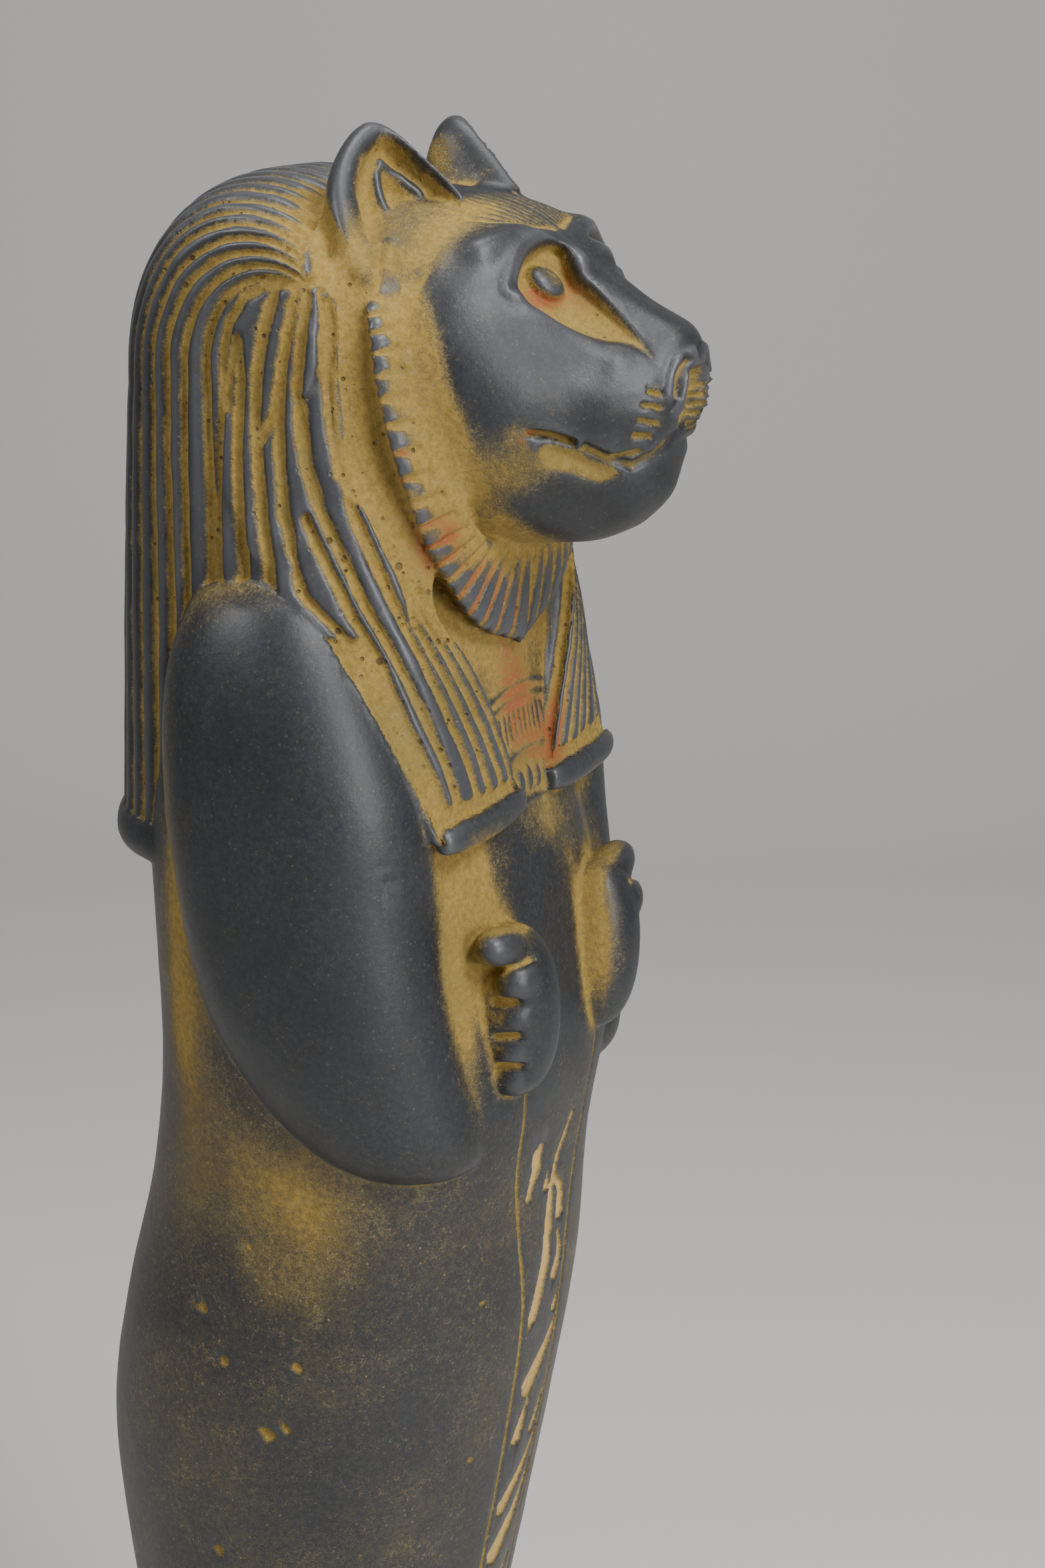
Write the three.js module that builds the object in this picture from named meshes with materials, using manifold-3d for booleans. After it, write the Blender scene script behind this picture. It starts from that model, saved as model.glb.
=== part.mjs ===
// Lion-headed mummiform figure, arms crossed on its chest, on a low base: one carved solid.
// Millimetres, +Z up. The figure faces -Y, its right side is -X, the origin is under the middle of the base.
import * as THREE from "three";
import { mergeVertices } from "three/addons/utils/BufferGeometryUtils.js";
import Module from "manifold-3d";

const wasm = await Module();
wasm.setup();

// Driving sizes
const HEIGHT = 450; // ground to ear tips
const BASE = { halfWidth: 42, front: -60, back: 56, top: 13, corner: 12, bevel: 1.6 };

// The carving is worked out in parts of the figure's own height, feet at 13 and ear tips at 450.
const PARTS = { feet: 13, tips: 450 };
const PART = (HEIGHT - BASE.top) / (PARTS.tips - PARTS.feet);
const WIG = {
  halfWidth: 42,
  square: 2.35, // how boxy its section is
  hem: 316,
  locks: 26,
  groove: 1.3,
  sweep: 128, // degrees swept from the back of the head over the crown
  bend: 2.12, // how boxy that sweep is
  // middle and radii of the outermost comb arc (over the crown) and of the innermost one (beside the ear)
  outer: { y: 9, z: 402, deep: 29, high: 39.5 },
  inner: { y: -9, z: 411, deep: 12, high: 12 },
  flare: 6.5, // the back panel stands this much further out at its hem
};
const LAPPET = { locks: 7, groove: 1.2, depth: 9, bandRadius: 2.8, filler: 0.34, fillerSink: 1.9 };
const PANEL = {
  locks: 3,
  front: -9.5,
  back: 4.4,
  top: 416,
  bottom: 360,
  proud: 0.2,
  splay: 0.035,
  lean: 3,
  depth: 8,
};
const RUFF = { pleats: 20, wave: 0.7, depth: 9 };
const EAR = { hollow: 4.2, bulge: 10 };
const COLUMN = { half: 10.5, top: 256, bottom: 64, rows: 12, deep: 1.6 };

const V = (x, y, z) => new THREE.Vector3(x, y, z);
const lerp = (a, b, t) => a + (b - a) * t;
const clamp = (t) => Math.min(1, Math.max(0, t));
const ease = (a, b, x) => {
  const t = clamp((x - a) / (b - a));
  return t * t * (3 - 2 * t);
};

// Smooth curve through stations [key, value, value...], read at one key.
function at(stations, key) {
  const last = stations.length - 1;
  const k = Math.min(stations[last][0], Math.max(stations[0][0], key));
  let i = 0;
  while (i < last - 1 && k > stations[i + 1][0]) i++;
  const a = stations[i];
  const b = stations[i + 1];
  const before = stations[Math.max(0, i - 1)];
  const after = stations[Math.min(last, i + 2)];
  const span = b[0] - a[0];
  const t = (k - a[0]) / span;
  return a.slice(1).map((v, n) => {
    const w = b[n + 1];
    const slopeA = ((w - before[n + 1]) / (b[0] - before[0])) * span;
    const slopeB = ((after[n + 1] - v) / (after[0] - a[0])) * span;
    const t2 = t * t;
    const t3 = t2 * t;
    const ends = (2 * t3 - 3 * t2 + 1) * v + (3 * t2 - 2 * t3) * w;
    return ends + (t3 - 2 * t2 + t) * slopeA + (t3 - t2) * slopeB;
  });
}

// Signed power, for rounded-box curves.
const pow = (c, n) => Math.sign(c) * Math.abs(c) ** (2 / n);

// Closed skin over a stack of rings with the same count of points, its two ends closed by fans.
function skin(rings) {
  const n = rings[0].length;
  const points = rings.flat();
  const index = [];
  for (let r = 0; r + 1 < rings.length; r++)
    for (let i = 0; i < n; i++) {
      const a = r * n + i;
      const b = r * n + ((i + 1) % n);
      index.push(a, b, b + n, a, b + n, a + n);
    }
  for (const [r, turn] of [
    [0, 1],
    [rings.length - 1, 0],
  ]) {
    const middle = V(0, 0, 0);
    rings[r].forEach((p) => middle.addScaledVector(p, 1 / n));
    const c = points.push(middle) - 1;
    for (let i = 0; i < n; i++) {
      const a = r * n + i;
      const b = r * n + ((i + 1) % n);
      index.push(c, turn ? b : a, turn ? a : b);
    }
  }
  return new THREE.BufferGeometry().setFromPoints(points).setIndex(index);
}
const ring = (count, f) => Array.from({ length: count }, (_, i) => f((2 * Math.PI * i) / count));

// Six times the volume inside a triangle mesh, negative where its faces point in.
function signedVolume(position, index) {
  const [a, b, c] = [V(), V(), V()];
  let sum = 0;
  for (let i = 0; i < index.length; i += 3) {
    a.fromArray(position, 3 * index[i]);
    b.fromArray(position, 3 * index[i + 1]);
    c.fromArray(position, 3 * index[i + 2]);
    sum += a.dot(b.cross(c));
  }
  return sum;
}

// Closed solid of one mass. A carved mass comes in parts of the figure's height and is set on the base.
function solid(geometry, carved = true) {
  for (const name of ["normal", "uv"]) geometry.deleteAttribute(name);
  if (carved) geometry.translate(0, 0, -PARTS.feet).scale(PART, PART, PART).translate(0, 0, BASE.top);
  const merged = mergeVertices(geometry, 1e-4);
  const position = merged.attributes.position.array;
  const index = new Uint32Array(merged.index.array);
  if (signedVolume(position, index) < 0)
    for (let i = 0; i < index.length; i += 3) [index[i + 1], index[i + 2]] = [index[i + 2], index[i + 1]];
  return new wasm.Manifold(new wasm.Mesh({ numProp: 3, vertProperties: position, triVerts: index }));
}

// The same skin on the figure's left side.
const mirrored = (rings) => rings.map((ring) => ring.map((p) => V(-p.x, p.y, p.z)));
const both = (rings) => [solid(skin(rings)), solid(skin(mirrored(rings)))];

// Body: height, half width, widest line, front, back, how square the front is
const BODY = [
  [0, 27, -8, -50, 26, 2.5],
  [19, 27, -8, -49, 26, 2.5],
  [28, 26.5, -6, -44, 26, 2.4],
  [37, 27, -2, -32, 27, 2.2],
  [48, 28, 2, -21, 30, 2.1],
  [80, 34, 8, -17.5, 38, 2.1],
  [110, 38.5, 10, -20.4, 43.5, 2.1],
  [135, 42, 11, -24, 46.4, 2.1],
  [163, 45.5, 10, -29.3, 50.4, 2.1],
  [195, 49, 9, -35, 51.8, 2.2],
  [221, 50, 6, -38.6, 47, 2.4],
  [250, 48, 2, -40, 39.4, 2.7],
  [275, 48.6, 0, -43, 35.6, 3],
  [300, 50, 0, -41, 35, 2.8],
  [325, 49, 0, -36, 36, 2.7],
  [350, 43, 0, -32, 36, 2.7],
  [370, 36, 2, -31, 33, 2.4],
  [388, 30, 4, -30, 30, 2.2],
];
function bodyPoint(z, turn) {
  const [half, wide, front, back, square] = at(BODY, z);
  const c = Math.cos(turn);
  const s = Math.sin(turn);
  const n = s < 0 ? square : 2.1;
  const reach = s < 0 ? wide - front : back - wide;
  return V(half * pow(c, n), wide + reach * pow(s, n), z);
}
const root = PARTS.feet - (0.5 * BASE.top) / PART; // the body starts half way down the base
const bodyHeights = [root, 21, 28, 36, 46, 62, 86, 112, 140, 168, 192, 215, 240, 275, 325, 388];
const body = solid(skin(bodyHeights.map((z) => ring(20, (turn) => bodyPoint(z, turn)))));

// Base: rounded slab with a small bevel
function slab(z, inset) {
  const w = BASE.halfWidth - inset;
  const y0 = BASE.front + inset;
  const y1 = BASE.back - inset;
  const r = BASE.corner - inset;
  return ring(20, (turn) => {
    const c = Math.cos(turn);
    const s = Math.sin(turn);
    const cornerX = (c > 0 ? 1 : -1) * (w - r);
    const cornerY = s > 0 ? y1 - r : y0 + r;
    return V(cornerX + r * c, cornerY + r * s, z);
  });
}
const baseRings = [slab(0, 0), slab(BASE.top - BASE.bevel, 0), slab(BASE.top, BASE.bevel)];
const base = solid(skin(baseRings), false);

// Arm: height, middle x, middle y, half width, half depth, how square
const ARM = [
  [261.6, -29, -25, 8, 9, 2],
  [264, -31, -24, 13, 14.5, 2],
  [269, -32.5, -21.4, 16.4, 18.6, 2],
  [280, -34.6, -16.8, 18.8, 21.6, 2.05],
  [295, -36, -12.4, 20.4, 23.8, 2.2],
  [315, -36.4, -9, 20.8, 24.6, 2.3],
  [335, -36, -7, 20.6, 25, 2.3],
  [356, -34.6, -4, 19.4, 21.4, 2.3],
  [369, -33, -3, 16.5, 16, 2.2],
  [373, -32, -3, 12.5, 11.5, 2.1],
  [375, -31, -3, 7, 6.5, 2],
];
const armHeights = [261.6, 265, 274, 292, 330, 354, 369, 375];
const armRings = armHeights.map((z) => {
  const [x, y, half, deep, square] = at(ARM, z);
  return ring(12, (turn) => {
    return V(x + half * pow(Math.cos(turn), square), y + deep * pow(Math.sin(turn), square), z);
  });
});
const arms = both(armRings);

// Wig: its section is a quarter of a rounded box each side, cut into locks of equal width along the arc.
const QUARTER = 60; // steps in which the arc's length is measured
const arc = [];
for (let i = 0; i <= QUARTER; i++) {
  const turn = (i / QUARTER) * (Math.PI / 2);
  const x = WIG.halfWidth * pow(Math.cos(turn), WIG.square);
  const r = WIG.outer.high * pow(Math.sin(turn), WIG.square);
  const last = arc[i - 1];
  arc.push({ x, r, length: last ? last.length + Math.hypot(x - last.x, r - last.r) : 0 });
}
// Where the arc is at a share of its length: half width, share of the crown's height, outward direction
function onArc(share) {
  const want = share * arc[QUARTER].length;
  let i = 0;
  while (i < QUARTER - 1 && arc[i + 1].length < want) i++;
  const [a, b] = [arc[i], arc[i + 1]];
  const along = b.length - a.length;
  const t = (want - a.length) / along;
  const high = lerp(a.r, b.r, t) / WIG.outer.high;
  return { x: lerp(a.x, b.x, t), high, outX: (b.r - a.r) / along, outR: (a.x - b.x) / along };
}
const sweepTurn = (travel) => (Math.max(0, travel - 1) * WIG.sweep * Math.PI) / 180;
// One point of the wig: share of the arc from the side edge (0) to the mid plane (1), travel up the back
// (0 to 1) and over the crown (1 to 2), push outwards
function wigPoint(side, share, travel, push) {
  const { x, high, outX, outR } = onArc(share);
  const from = WIG.inner;
  const to = WIG.outer;
  const y = lerp(from.y, to.y, high);
  const z = lerp(from.z, to.z, high);
  const deep = lerp(from.deep, to.deep, high) + outR * push;
  const tall = lerp(from.high, to.high, high) + outR * push;
  const px = side * (x + outX * push);
  if (travel <= 1) {
    const flare = WIG.flare * high * (1 - travel) ** 0.8;
    return V(px, y + deep + flare, lerp(WIG.hem, z, travel));
  }
  const turn = sweepTurn(travel);
  return V(px, y + deep * pow(Math.cos(turn), WIG.bend), z + tall * pow(Math.sin(turn), WIG.bend));
}
// Columns of one lock: two at its flat back, one at the bottom of the groove.
const LOCK = [
  [0.16, 0],
  [0.66, 0],
  [0.91, 1],
];
function wigRing(travel, lift = 0, grooved = true) {
  const points = [];
  const count = grooved ? WIG.locks : 16;
  for (let k = 0; k < count; k++)
    for (const [offset, deep] of grooved ? LOCK : [[0.5, 0]]) {
      const share = ((k + offset) / count) * 2 - 1;
      points.push(wigPoint(Math.sign(share), 1 - Math.abs(share), travel, lift - deep * WIG.groove));
    }
  // the inner side, within the head
  const turn = sweepTurn(travel);
  const z = travel > 1 ? WIG.inner.z + 4 * Math.sin(turn) : wigPoint(1, 0, travel, 0).z;
  const y = WIG.inner.y + 4 * Math.cos(turn);
  for (const side of [0.9, 0, -0.9]) points.push(V(side * WIG.halfWidth, y, z));
  return points;
}
const travels = [0.045, 1]; // it starts inside the rolled hem
for (let i = 1; i <= 6; i++) travels.push(1 + i / 6);
const wig = solid(skin(travels.map((travel) => wigRing(travel))));

// Rolled hem of the back panel: height above the hem line, how far it stands off
const ROLL = [
  [0, -2.4],
  [0.5, -0.2],
  [2.4, 1.1],
  [5.6, 1.1],
  [7.6, 0.1],
  [8.6, -2],
];
const hemRings = ROLL.map(([up, off]) => wigRing(up / (WIG.outer.z - WIG.hem), off, false));
const hem = solid(skin(hemRings));

// Side panel between the wig and the lappet: straight locks that end on the shoulder
function panelPoint(z, across, sink) {
  const x = WIG.halfWidth + PANEL.proud + (PANEL.top - z) * PANEL.splay;
  return V(-x + sink, lerp(PANEL.front, PANEL.back, across), z);
}
// its top leans in under the wig
const panelRings = [
  [PANEL.top, PANEL.lean],
  [PANEL.top - PANEL.lean, 0],
  [PANEL.bottom, 0],
].map(([z, lean]) => {
  const front = [];
  for (let k = 0; k < PANEL.locks; k++)
    for (const [offset, deep] of LOCK)
      front.push(panelPoint(z, (k + offset) / PANEL.locks, lean + deep * WIG.groove));
  return [...front, panelPoint(z, 0.9, PANEL.depth), panelPoint(z, 0.1, PANEL.depth)];
});
const panels = both(panelRings);

// Front lappet: share of its length, inner edge x y z, outer edge x y z, how far it bows out. Both x are
// counted inwards from the side of the wig.
const SHEET = [
  [0, 6.6, -17, 428.4, 2.8, 0, 420.4, 0.4],
  [0.12, 2.4, -17, 417, 0, 2.6, 411, 0.6],
  [0.25, 1.6, -17.4, 405, -0.8, 3.6, 400, 0.8],
  [0.38, 1.8, -19, 394, -1.6, 2, 388, 1.4],
  [0.5, 3.2, -22.2, 383, -2.8, -3, 378, 2],
  [0.62, 6, -26.6, 371.5, -4, -10.5, 371, 2.6],
  [0.75, 11.6, -31.2, 358, -3, -20.5, 361, 2.8],
  [0.88, 22.5, -35, 342, 0, -30, 344.5, 2.2],
  [1, 35.2, -37.2, 328, 3.7, -36, 328, 1.4],
];
function sheetPoint(along, across, sink) {
  const [in0, y0, z0, in1, y1, z1, bow] = at(SHEET, along);
  const [x0, x1] = [in0 - WIG.halfWidth, in1 - WIG.halfWidth];
  const out = V(y1 - y0, x0 - x1, 0).normalize().negate();
  const p = V(lerp(x0, x1, across), lerp(y0, y1, across), lerp(z0, z1, across));
  return p.addScaledVector(out, bow * 4 * across * (1 - across) - sink);
}
const sheetRings = [];
for (let i = 0; i <= 6; i++) {
  const along = i / 6;
  // plain sunk strip between the innermost lock and the ruff, fading out below the jaw
  const filler = -LAPPET.filler * (1 - ease(0.5, 0.68, along)) - 0.01;
  const front = [sheetPoint(along, filler, LAPPET.fillerSink)];
  for (let k = 0; k < LAPPET.locks; k++)
    for (const [offset, deep] of LOCK)
      front.push(sheetPoint(along, (k + offset) / LAPPET.locks, deep * LAPPET.groove));
  const backs = [0.96, 0.5, filler].map((across) => sheetPoint(along, across, LAPPET.depth));
  sheetRings.push([...front, ...backs]);
}
const lappets = both(sheetRings);

// Rolled band under each lappet, a little thinner at its ends
const bandRings = [];
const BAND_STEPS = 5;
for (let i = 0; i <= BAND_STEPS; i++) {
  const thick = LAPPET.bandRadius * (i % BAND_STEPS ? 1 : 0.72);
  const p = sheetPoint(1, lerp(0, 0.97, i / BAND_STEPS), 0.6);
  bandRings.push(
    ring(7, (turn) => {
      return V(p.x, p.y - 0.75 * thick * pow(Math.cos(turn), 2.4), p.z + thick * pow(Math.sin(turn), 2.4));
    }),
  );
}
const bands = both(bandRings);

// Rounded lump by levels from bottom to top
function pod(middle, [wide, deep, high], square = 2, tilt = 0, levels = 5, around = 9) {
  const rings = [];
  for (let i = 0; i <= levels; i++) {
    const lat = lerp(-0.44, 0.44, i / levels) * Math.PI;
    const level = pow(Math.sin(lat), square);
    const spread = pow(Math.cos(lat), square);
    rings.push(
      ring(around, (turn) => {
        const x = wide * spread * pow(Math.cos(turn), square);
        const y = deep * spread * pow(Math.sin(turn), square);
        return V(x, y, high * level).applyAxisAngle(V(0, 1, 0), tilt).add(V(...middle));
      }),
    );
  }
  return rings;
}

// Head: depth, top, bottom, half width, height of the widest line, how square above and below
const HEAD = [
  [-67.6, 413.4, 402.4, 4.6, 407.4, 2, 2],
  [-66.4, 415.2, 398.6, 8.2, 405.4, 1.8, 2.2],
  [-64.8, 416.4, 396, 11, 404, 1.7, 2.2],
  [-63.4, 417.1, 391.4, 12.8, 403.2, 1.65, 1.9],
  [-61.4, 418, 386, 14.6, 402.6, 1.6, 1.8],
  [-58, 419.6, 381, 17.2, 402, 1.6, 1.8],
  [-55, 421.4, 379, 19, 401.8, 1.6, 1.9],
  [-50, 424.6, 377, 22.6, 403, 1.8, 2.1],
  [-45, 429, 376.4, 26, 405, 2.2, 2.2],
  [-40, 432.4, 376, 29.2, 407, 2.5, 2.2],
  [-34, 435.4, 375.6, 32.2, 409, 2.4, 2.2],
  [-26, 437.4, 375, 34.6, 410, 2.25, 2.2],
  [-16, 438.4, 375, 36.2, 409, 2.3, 2.2],
  [0, 438, 375, 37, 408, 2.3, 2.2],
];
function headPoint(y, turn) {
  const [top, bottom, half, wide, squareUp, squareDown] = at(HEAD, y);
  const c = Math.cos(turn);
  const s = Math.sin(turn);
  const n = s > 0 ? squareUp : squareDown;
  return V(half * pow(c, n), y, wide + (s > 0 ? top - wide : wide - bottom) * pow(s, n));
}
// sections closer together towards the nose
const HEAD_STEPS = 15;
const headDepth = (i) => lerp(0, HEAD[0][0], 1 - (1 - i / HEAD_STEPS) ** 1.7);
const headRings = [];
for (let i = 0; i <= HEAD_STEPS; i++) headRings.push(ring(26, (turn) => headPoint(headDepth(i), turn)));
const headGrid = skin(headRings);
// Soft pushes on the face: from a to b, reach, height, on the right side and mirrored to the left
const PUSHES = [
  // brow ridge
  [-22, -36, 429.5, -12.5, -41.5, 433, 3, 1.8],
  [-12.5, -41.5, 433, -6, -47.5, 427.6, 2.6, 1.5],
  // bridge of the nose, edge of the cheek, whisker pad
  [-3, -48, 426.5, -3.6, -64, 415, 2.6, 0.6],
  [-21, -43.5, 418.6, -13, -57, 411, 3.4, 1],
  [-17, -56, 404.5, -12.6, -62, 403.4, 5, 1],
  // cheek, hollow of the jaw, chin
  [-30, -34, 411, -26, -41, 404, 9, 1.3],
  [-20, -50, 385, -13, -55, 382, 5, -1],
  [-4, -60.5, 386, 0, -61, 386, 4.5, 1],
];
function pushAt(p) {
  const q = V(-Math.abs(p.x), p.y, p.z);
  let sum = 0;
  for (const [ax, ay, az, bx, by, bz, reach, height] of PUSHES) {
    const nearest = new THREE.Line3(V(ax, ay, az), V(bx, by, bz)).closestPointToPoint(q, true, V());
    sum += height * Math.exp(-((nearest.distanceTo(q) / reach) ** 2));
  }
  return sum;
}
headGrid.computeVertexNormals();
const headPosition = headGrid.attributes.position;
const outwards = Math.sign(signedVolume(headPosition.array, headGrid.index.array));
for (let i = 0; i < headPosition.count; i++) {
  const p = V().fromBufferAttribute(headPosition, i);
  const normal = V().fromBufferAttribute(headGrid.attributes.normal, i);
  p.addScaledVector(normal, outwards * pushAt(p));
  headPosition.setXYZ(i, p.x, p.y, p.z);
}

// Tube along a path of stations [x, y, z, radius], for the channels and cuts of the face
function tube(stations, sides = 6) {
  const path = stations.map(([x, y, z]) => V(x, y, z));
  return stations.map(([, , , radius], i) => {
    const next = path[Math.min(i + 1, path.length - 1)];
    const last = path[Math.max(i - 1, 0)];
    const along = next.clone().sub(last).normalize();
    const u = V(0, 0, 1).cross(along).setLength(radius);
    const w = along.clone().cross(u);
    return ring(sides, (turn) => {
      return path[i].clone().addScaledVector(u, Math.cos(turn)).addScaledVector(w, Math.sin(turn));
    });
  });
}
const eyeSockets = both(pod([-15.6, -47.6, 427.2], [6.8, 6.8, 6.4], 2, 0, 4, 9));
const eyes = both(pod([-11.6, -43.8, 423.4], [3.5, 3.4, 2.7], 2, 0, 3, 8));
// From the inner corner of the eye down beside the nose
const TEAR = [
  [-12.2, -48.8, 423.6, 3.8],
  [-11, -53.4, 419, 3.2],
  [-10.8, -59.4, 413.6, 2.5],
  [-9.4, -65, 410.2, 1.4],
];
const NOSTRIL = [
  [-2.6, -68.4, 411.6, 0.6],
  [-5.4, -67.6, 408.6, 1.3],
  [-7.2, -66.4, 404.6, 0.7],
];
// The mouth runs round the muzzle from corner to corner.
const MOUTH = [
  [-26.2, -45.4, 399.8, 0.4],
  [-23.2, -50, 398.9, 1.4],
  [-20, -54, 397, 1.4],
  [-16, -58, 394.4, 1.1],
  [-12, -61.4, 393, 1],
  [-7.4, -64, 394, 1],
  [0, -65, 395.6, 1.1],
];
// Deep groove from the nose to the upper lip
const PHILTRUM = [
  [0, -69.2, 409.6, 0.8],
  [0, -67.8, 404.4, 2.6],
  [0, -66.4, 399.6, 3.2],
  [0, -65.6, 395.4, 2.4],
];
const mouthLeft = MOUTH.slice(0, -1).map(([x, y, z, radius]) => [-x, y, z, radius]);
const mouth = solid(skin(tube([...MOUTH, ...mouthLeft.reverse()], 4)));
const philtrum = solid(skin(tube(PHILTRUM)));
const channels = [...both(tube(TEAR, 5)), ...both(tube(NOSTRIL, 4))];
let head = solid(headGrid);
for (const piece of [...eyeSockets, ...channels, philtrum, mouth]) head = head.subtract(piece);
for (const piece of eyes) head = head.add(piece);

// Ear: a cup on its own plane, given by its low outer corner, its inner corner and its tip
const earCorner = V(-34, -23, 422);
const earInner = V(-11, -30, 434);
const earTip = V(-16, -12.8, PARTS.tips);
const earMiddle = earCorner.clone().lerp(earInner, 0.5);
const earAcross = earInner.clone().sub(earCorner).normalize();
const earFacing = earInner.clone().sub(earCorner).cross(earTip.clone().sub(earCorner)).normalize();
const earUp = earFacing.clone().cross(earAcross);
// Rim from the low outer corner over the tip to the inner corner: across, up
const RIM = [
  [-12.6, -3],
  [-14.3, 3],
  [-13.4, 8],
  [-10.2, 13.2],
  [-6.4, 18],
  [-1.8, 21.6],
  [3.2, 23.8],
  [8.2, 24.8],
  [11.8, 24.1],
  [13.8, 20],
  [14.3, 13],
  [14.6, 5],
  [13.4, -3],
];
const EAR_HEART = [1.5, 4]; // the rings shrink towards this point of the plane
function earRing(share, depth) {
  const points = RIM.map(([across, up]) => {
    return earMiddle
      .clone()
      .addScaledVector(earAcross, lerp(EAR_HEART[0], across, share))
      .addScaledVector(earUp, lerp(EAR_HEART[1], up, share))
      .addScaledVector(earFacing, depth);
  });
  for (const t of [0.3, 0.7]) points.push(points[RIM.length - 1].clone().lerp(points[0], t));
  return points;
}
// From the back of the shell round the rolled rim into the hollow
const earRings = [
  earRing(0.3, -EAR.bulge - 2),
  earRing(0.74, -EAR.bulge),
  earRing(0.95, -0.5 * EAR.bulge),
  earRing(1, -1),
  earRing(0.94, 0.9),
  earRing(0.84, 0.2),
  earRing(0.72, -0.7 * EAR.hollow),
  earRing(0.4, -EAR.hollow),
];
const ears = both(earRings);

// Ruff of mane under the face: share from ear to throat, outer edge x y z, inner edge x y z
const RUFFLE = [
  [0, -36.8, -20, 426, -32.6, -26.5, 427],
  [0.12, -39.8, -22.8, 417, -33.6, -30.5, 417],
  [0.25, -40, -25, 406, -33.4, -33, 405],
  [0.4, -38.6, -28, 393.5, -31, -35.5, 392.5],
  [0.55, -34.5, -30.4, 381.5, -26, -37, 382.5],
  [0.7, -27.5, -32, 371.5, -19, -38, 377.5],
  [0.85, -17, -33.2, 361.5, -10, -38.4, 375.5],
  [1, 0, -33.8, 355, 0, -38.4, 375],
];
function rufflePoint(share, across, sink) {
  const s = Math.abs(share);
  const [ox, oy, oz, ix, iy, iz] = at(RUFFLE, 1 - s);
  const flip = share < 0 ? 1 : -1;
  const p = V(lerp(ox, ix, across), lerp(oy, iy, across), lerp(oz, iz, across));
  const away = V(p.x * 0.7, p.y + 6, 0).normalize();
  p.addScaledVector(away, -sink);
  p.x *= flip;
  return p;
}
const ruffleRings = [];
const folds = RUFF.pleats * 2;
for (let k = 0; k <= folds; k++) {
  const share = (k / folds) * 2 - 1;
  const wave = k % 2 ? RUFF.wave : 0;
  ruffleRings.push([
    rufflePoint(share, k % 2 ? 0.07 : 0, wave * 0.4 - 0.4),
    rufflePoint(share, 0.3, wave - 0.5),
    rufflePoint(share, 0.72, wave),
    rufflePoint(share, 1.15, wave + 0.6),
    rufflePoint(share, 1.3, RUFF.depth),
    rufflePoint(share, 0.1, RUFF.depth),
  ]);
}
const ruff = solid(skin(ruffleRings));

// Fists: back of the hand, thumb, and four finger ends down the outer edge
const FINGERS = [
  [-27.2, -42.8, 299.6, 3.2],
  [-27.2, -42.8, 292.8, 3.2],
  [-26.8, -42.6, 286.2, 3],
  [-25.6, -42.2, 280.2, 2.7],
];
const hands = [
  pod([-20.6, -41.4, 292], [8, 8.2, 16.8], 2.2, -0.06, 6, 10),
  pod([-25.6, -42.6, 306.4], [7, 3.8, 3.6], 2.2, 0.16, 4, 8),
  ...FINGERS.map(([x, y, z, radius]) => pod([x, y, z], [1.1 * radius, 1.15 * radius, radius], 2.2, 0, 3, 6)),
].flatMap(both);

// Front column: rows of shallow strokes down the body, none of them a letter
const strokes = [];
const pitch = (COLUMN.top - COLUMN.bottom) / COLUMN.rows;
const TILTS = [0.5, -0.6, 0.1, 0.9];
const LENGTHS = [1.5, 1.1, 1.7, 1.3];
for (let i = 0; i < COLUMN.rows; i++) {
  const z = COLUMN.top - (i + 0.4) * pitch;
  const step = 4; // the slope of the body is taken over this much each way
  const slope = (at(BODY, z + step)[2] - at(BODY, z - step)[2]) / (2 * step);
  const stroke = new THREE.BoxGeometry(COLUMN.half * LENGTHS[i % 4], 5 * COLUMN.deep, 0.22 * pitch);
  stroke.rotateY(TILTS[i % 4]).rotateX(-Math.atan(slope));
  stroke.translate(0.2 * COLUMN.half * ((i % 3) - 1), at(BODY, z)[2] - 1.5 * COLUMN.deep, z);
  strokes.push(solid(stroke));
}

let figure = body;
for (const stroke of strokes) figure = figure.subtract(stroke);
const masses = [base, ...arms, wig, hem, ...panels, ...lappets, ...bands, head, ...ears, ruff, ...hands];
for (const mass of masses) figure = figure.add(mass);

function meshOf(made, name, material) {
  const m = made.getMesh();
  const geometry = new THREE.BufferGeometry();
  geometry.setAttribute("position", new THREE.BufferAttribute(m.vertProperties, 3));
  geometry.setIndex(new THREE.BufferAttribute(m.triVerts, 1));
  geometry.computeVertexNormals();
  const mesh = new THREE.Mesh(geometry, material);
  mesh.name = name;
  return mesh;
}
const stone = new THREE.MeshStandardMaterial({ color: 0x3a3d42, roughness: 0.5, metalness: 0 });
const group = new THREE.Group();
group.add(meshOf(figure, "sekhmet_statue", stone));
export default group;
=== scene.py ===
# %% [markdown]
# A standing, wrapped figure with the head of a lioness and both fists on its chest, carved from one block.
# The CAD solid gives its outline and its big forms. This script carves the same forms again at a finer
# grain, adds the tool marks, the chips and the dust in the hollows, and sets it under soft studio light.
# The fine skin takes the place of the CAD solid, so both keep the same sizes in the same frame.

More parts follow.
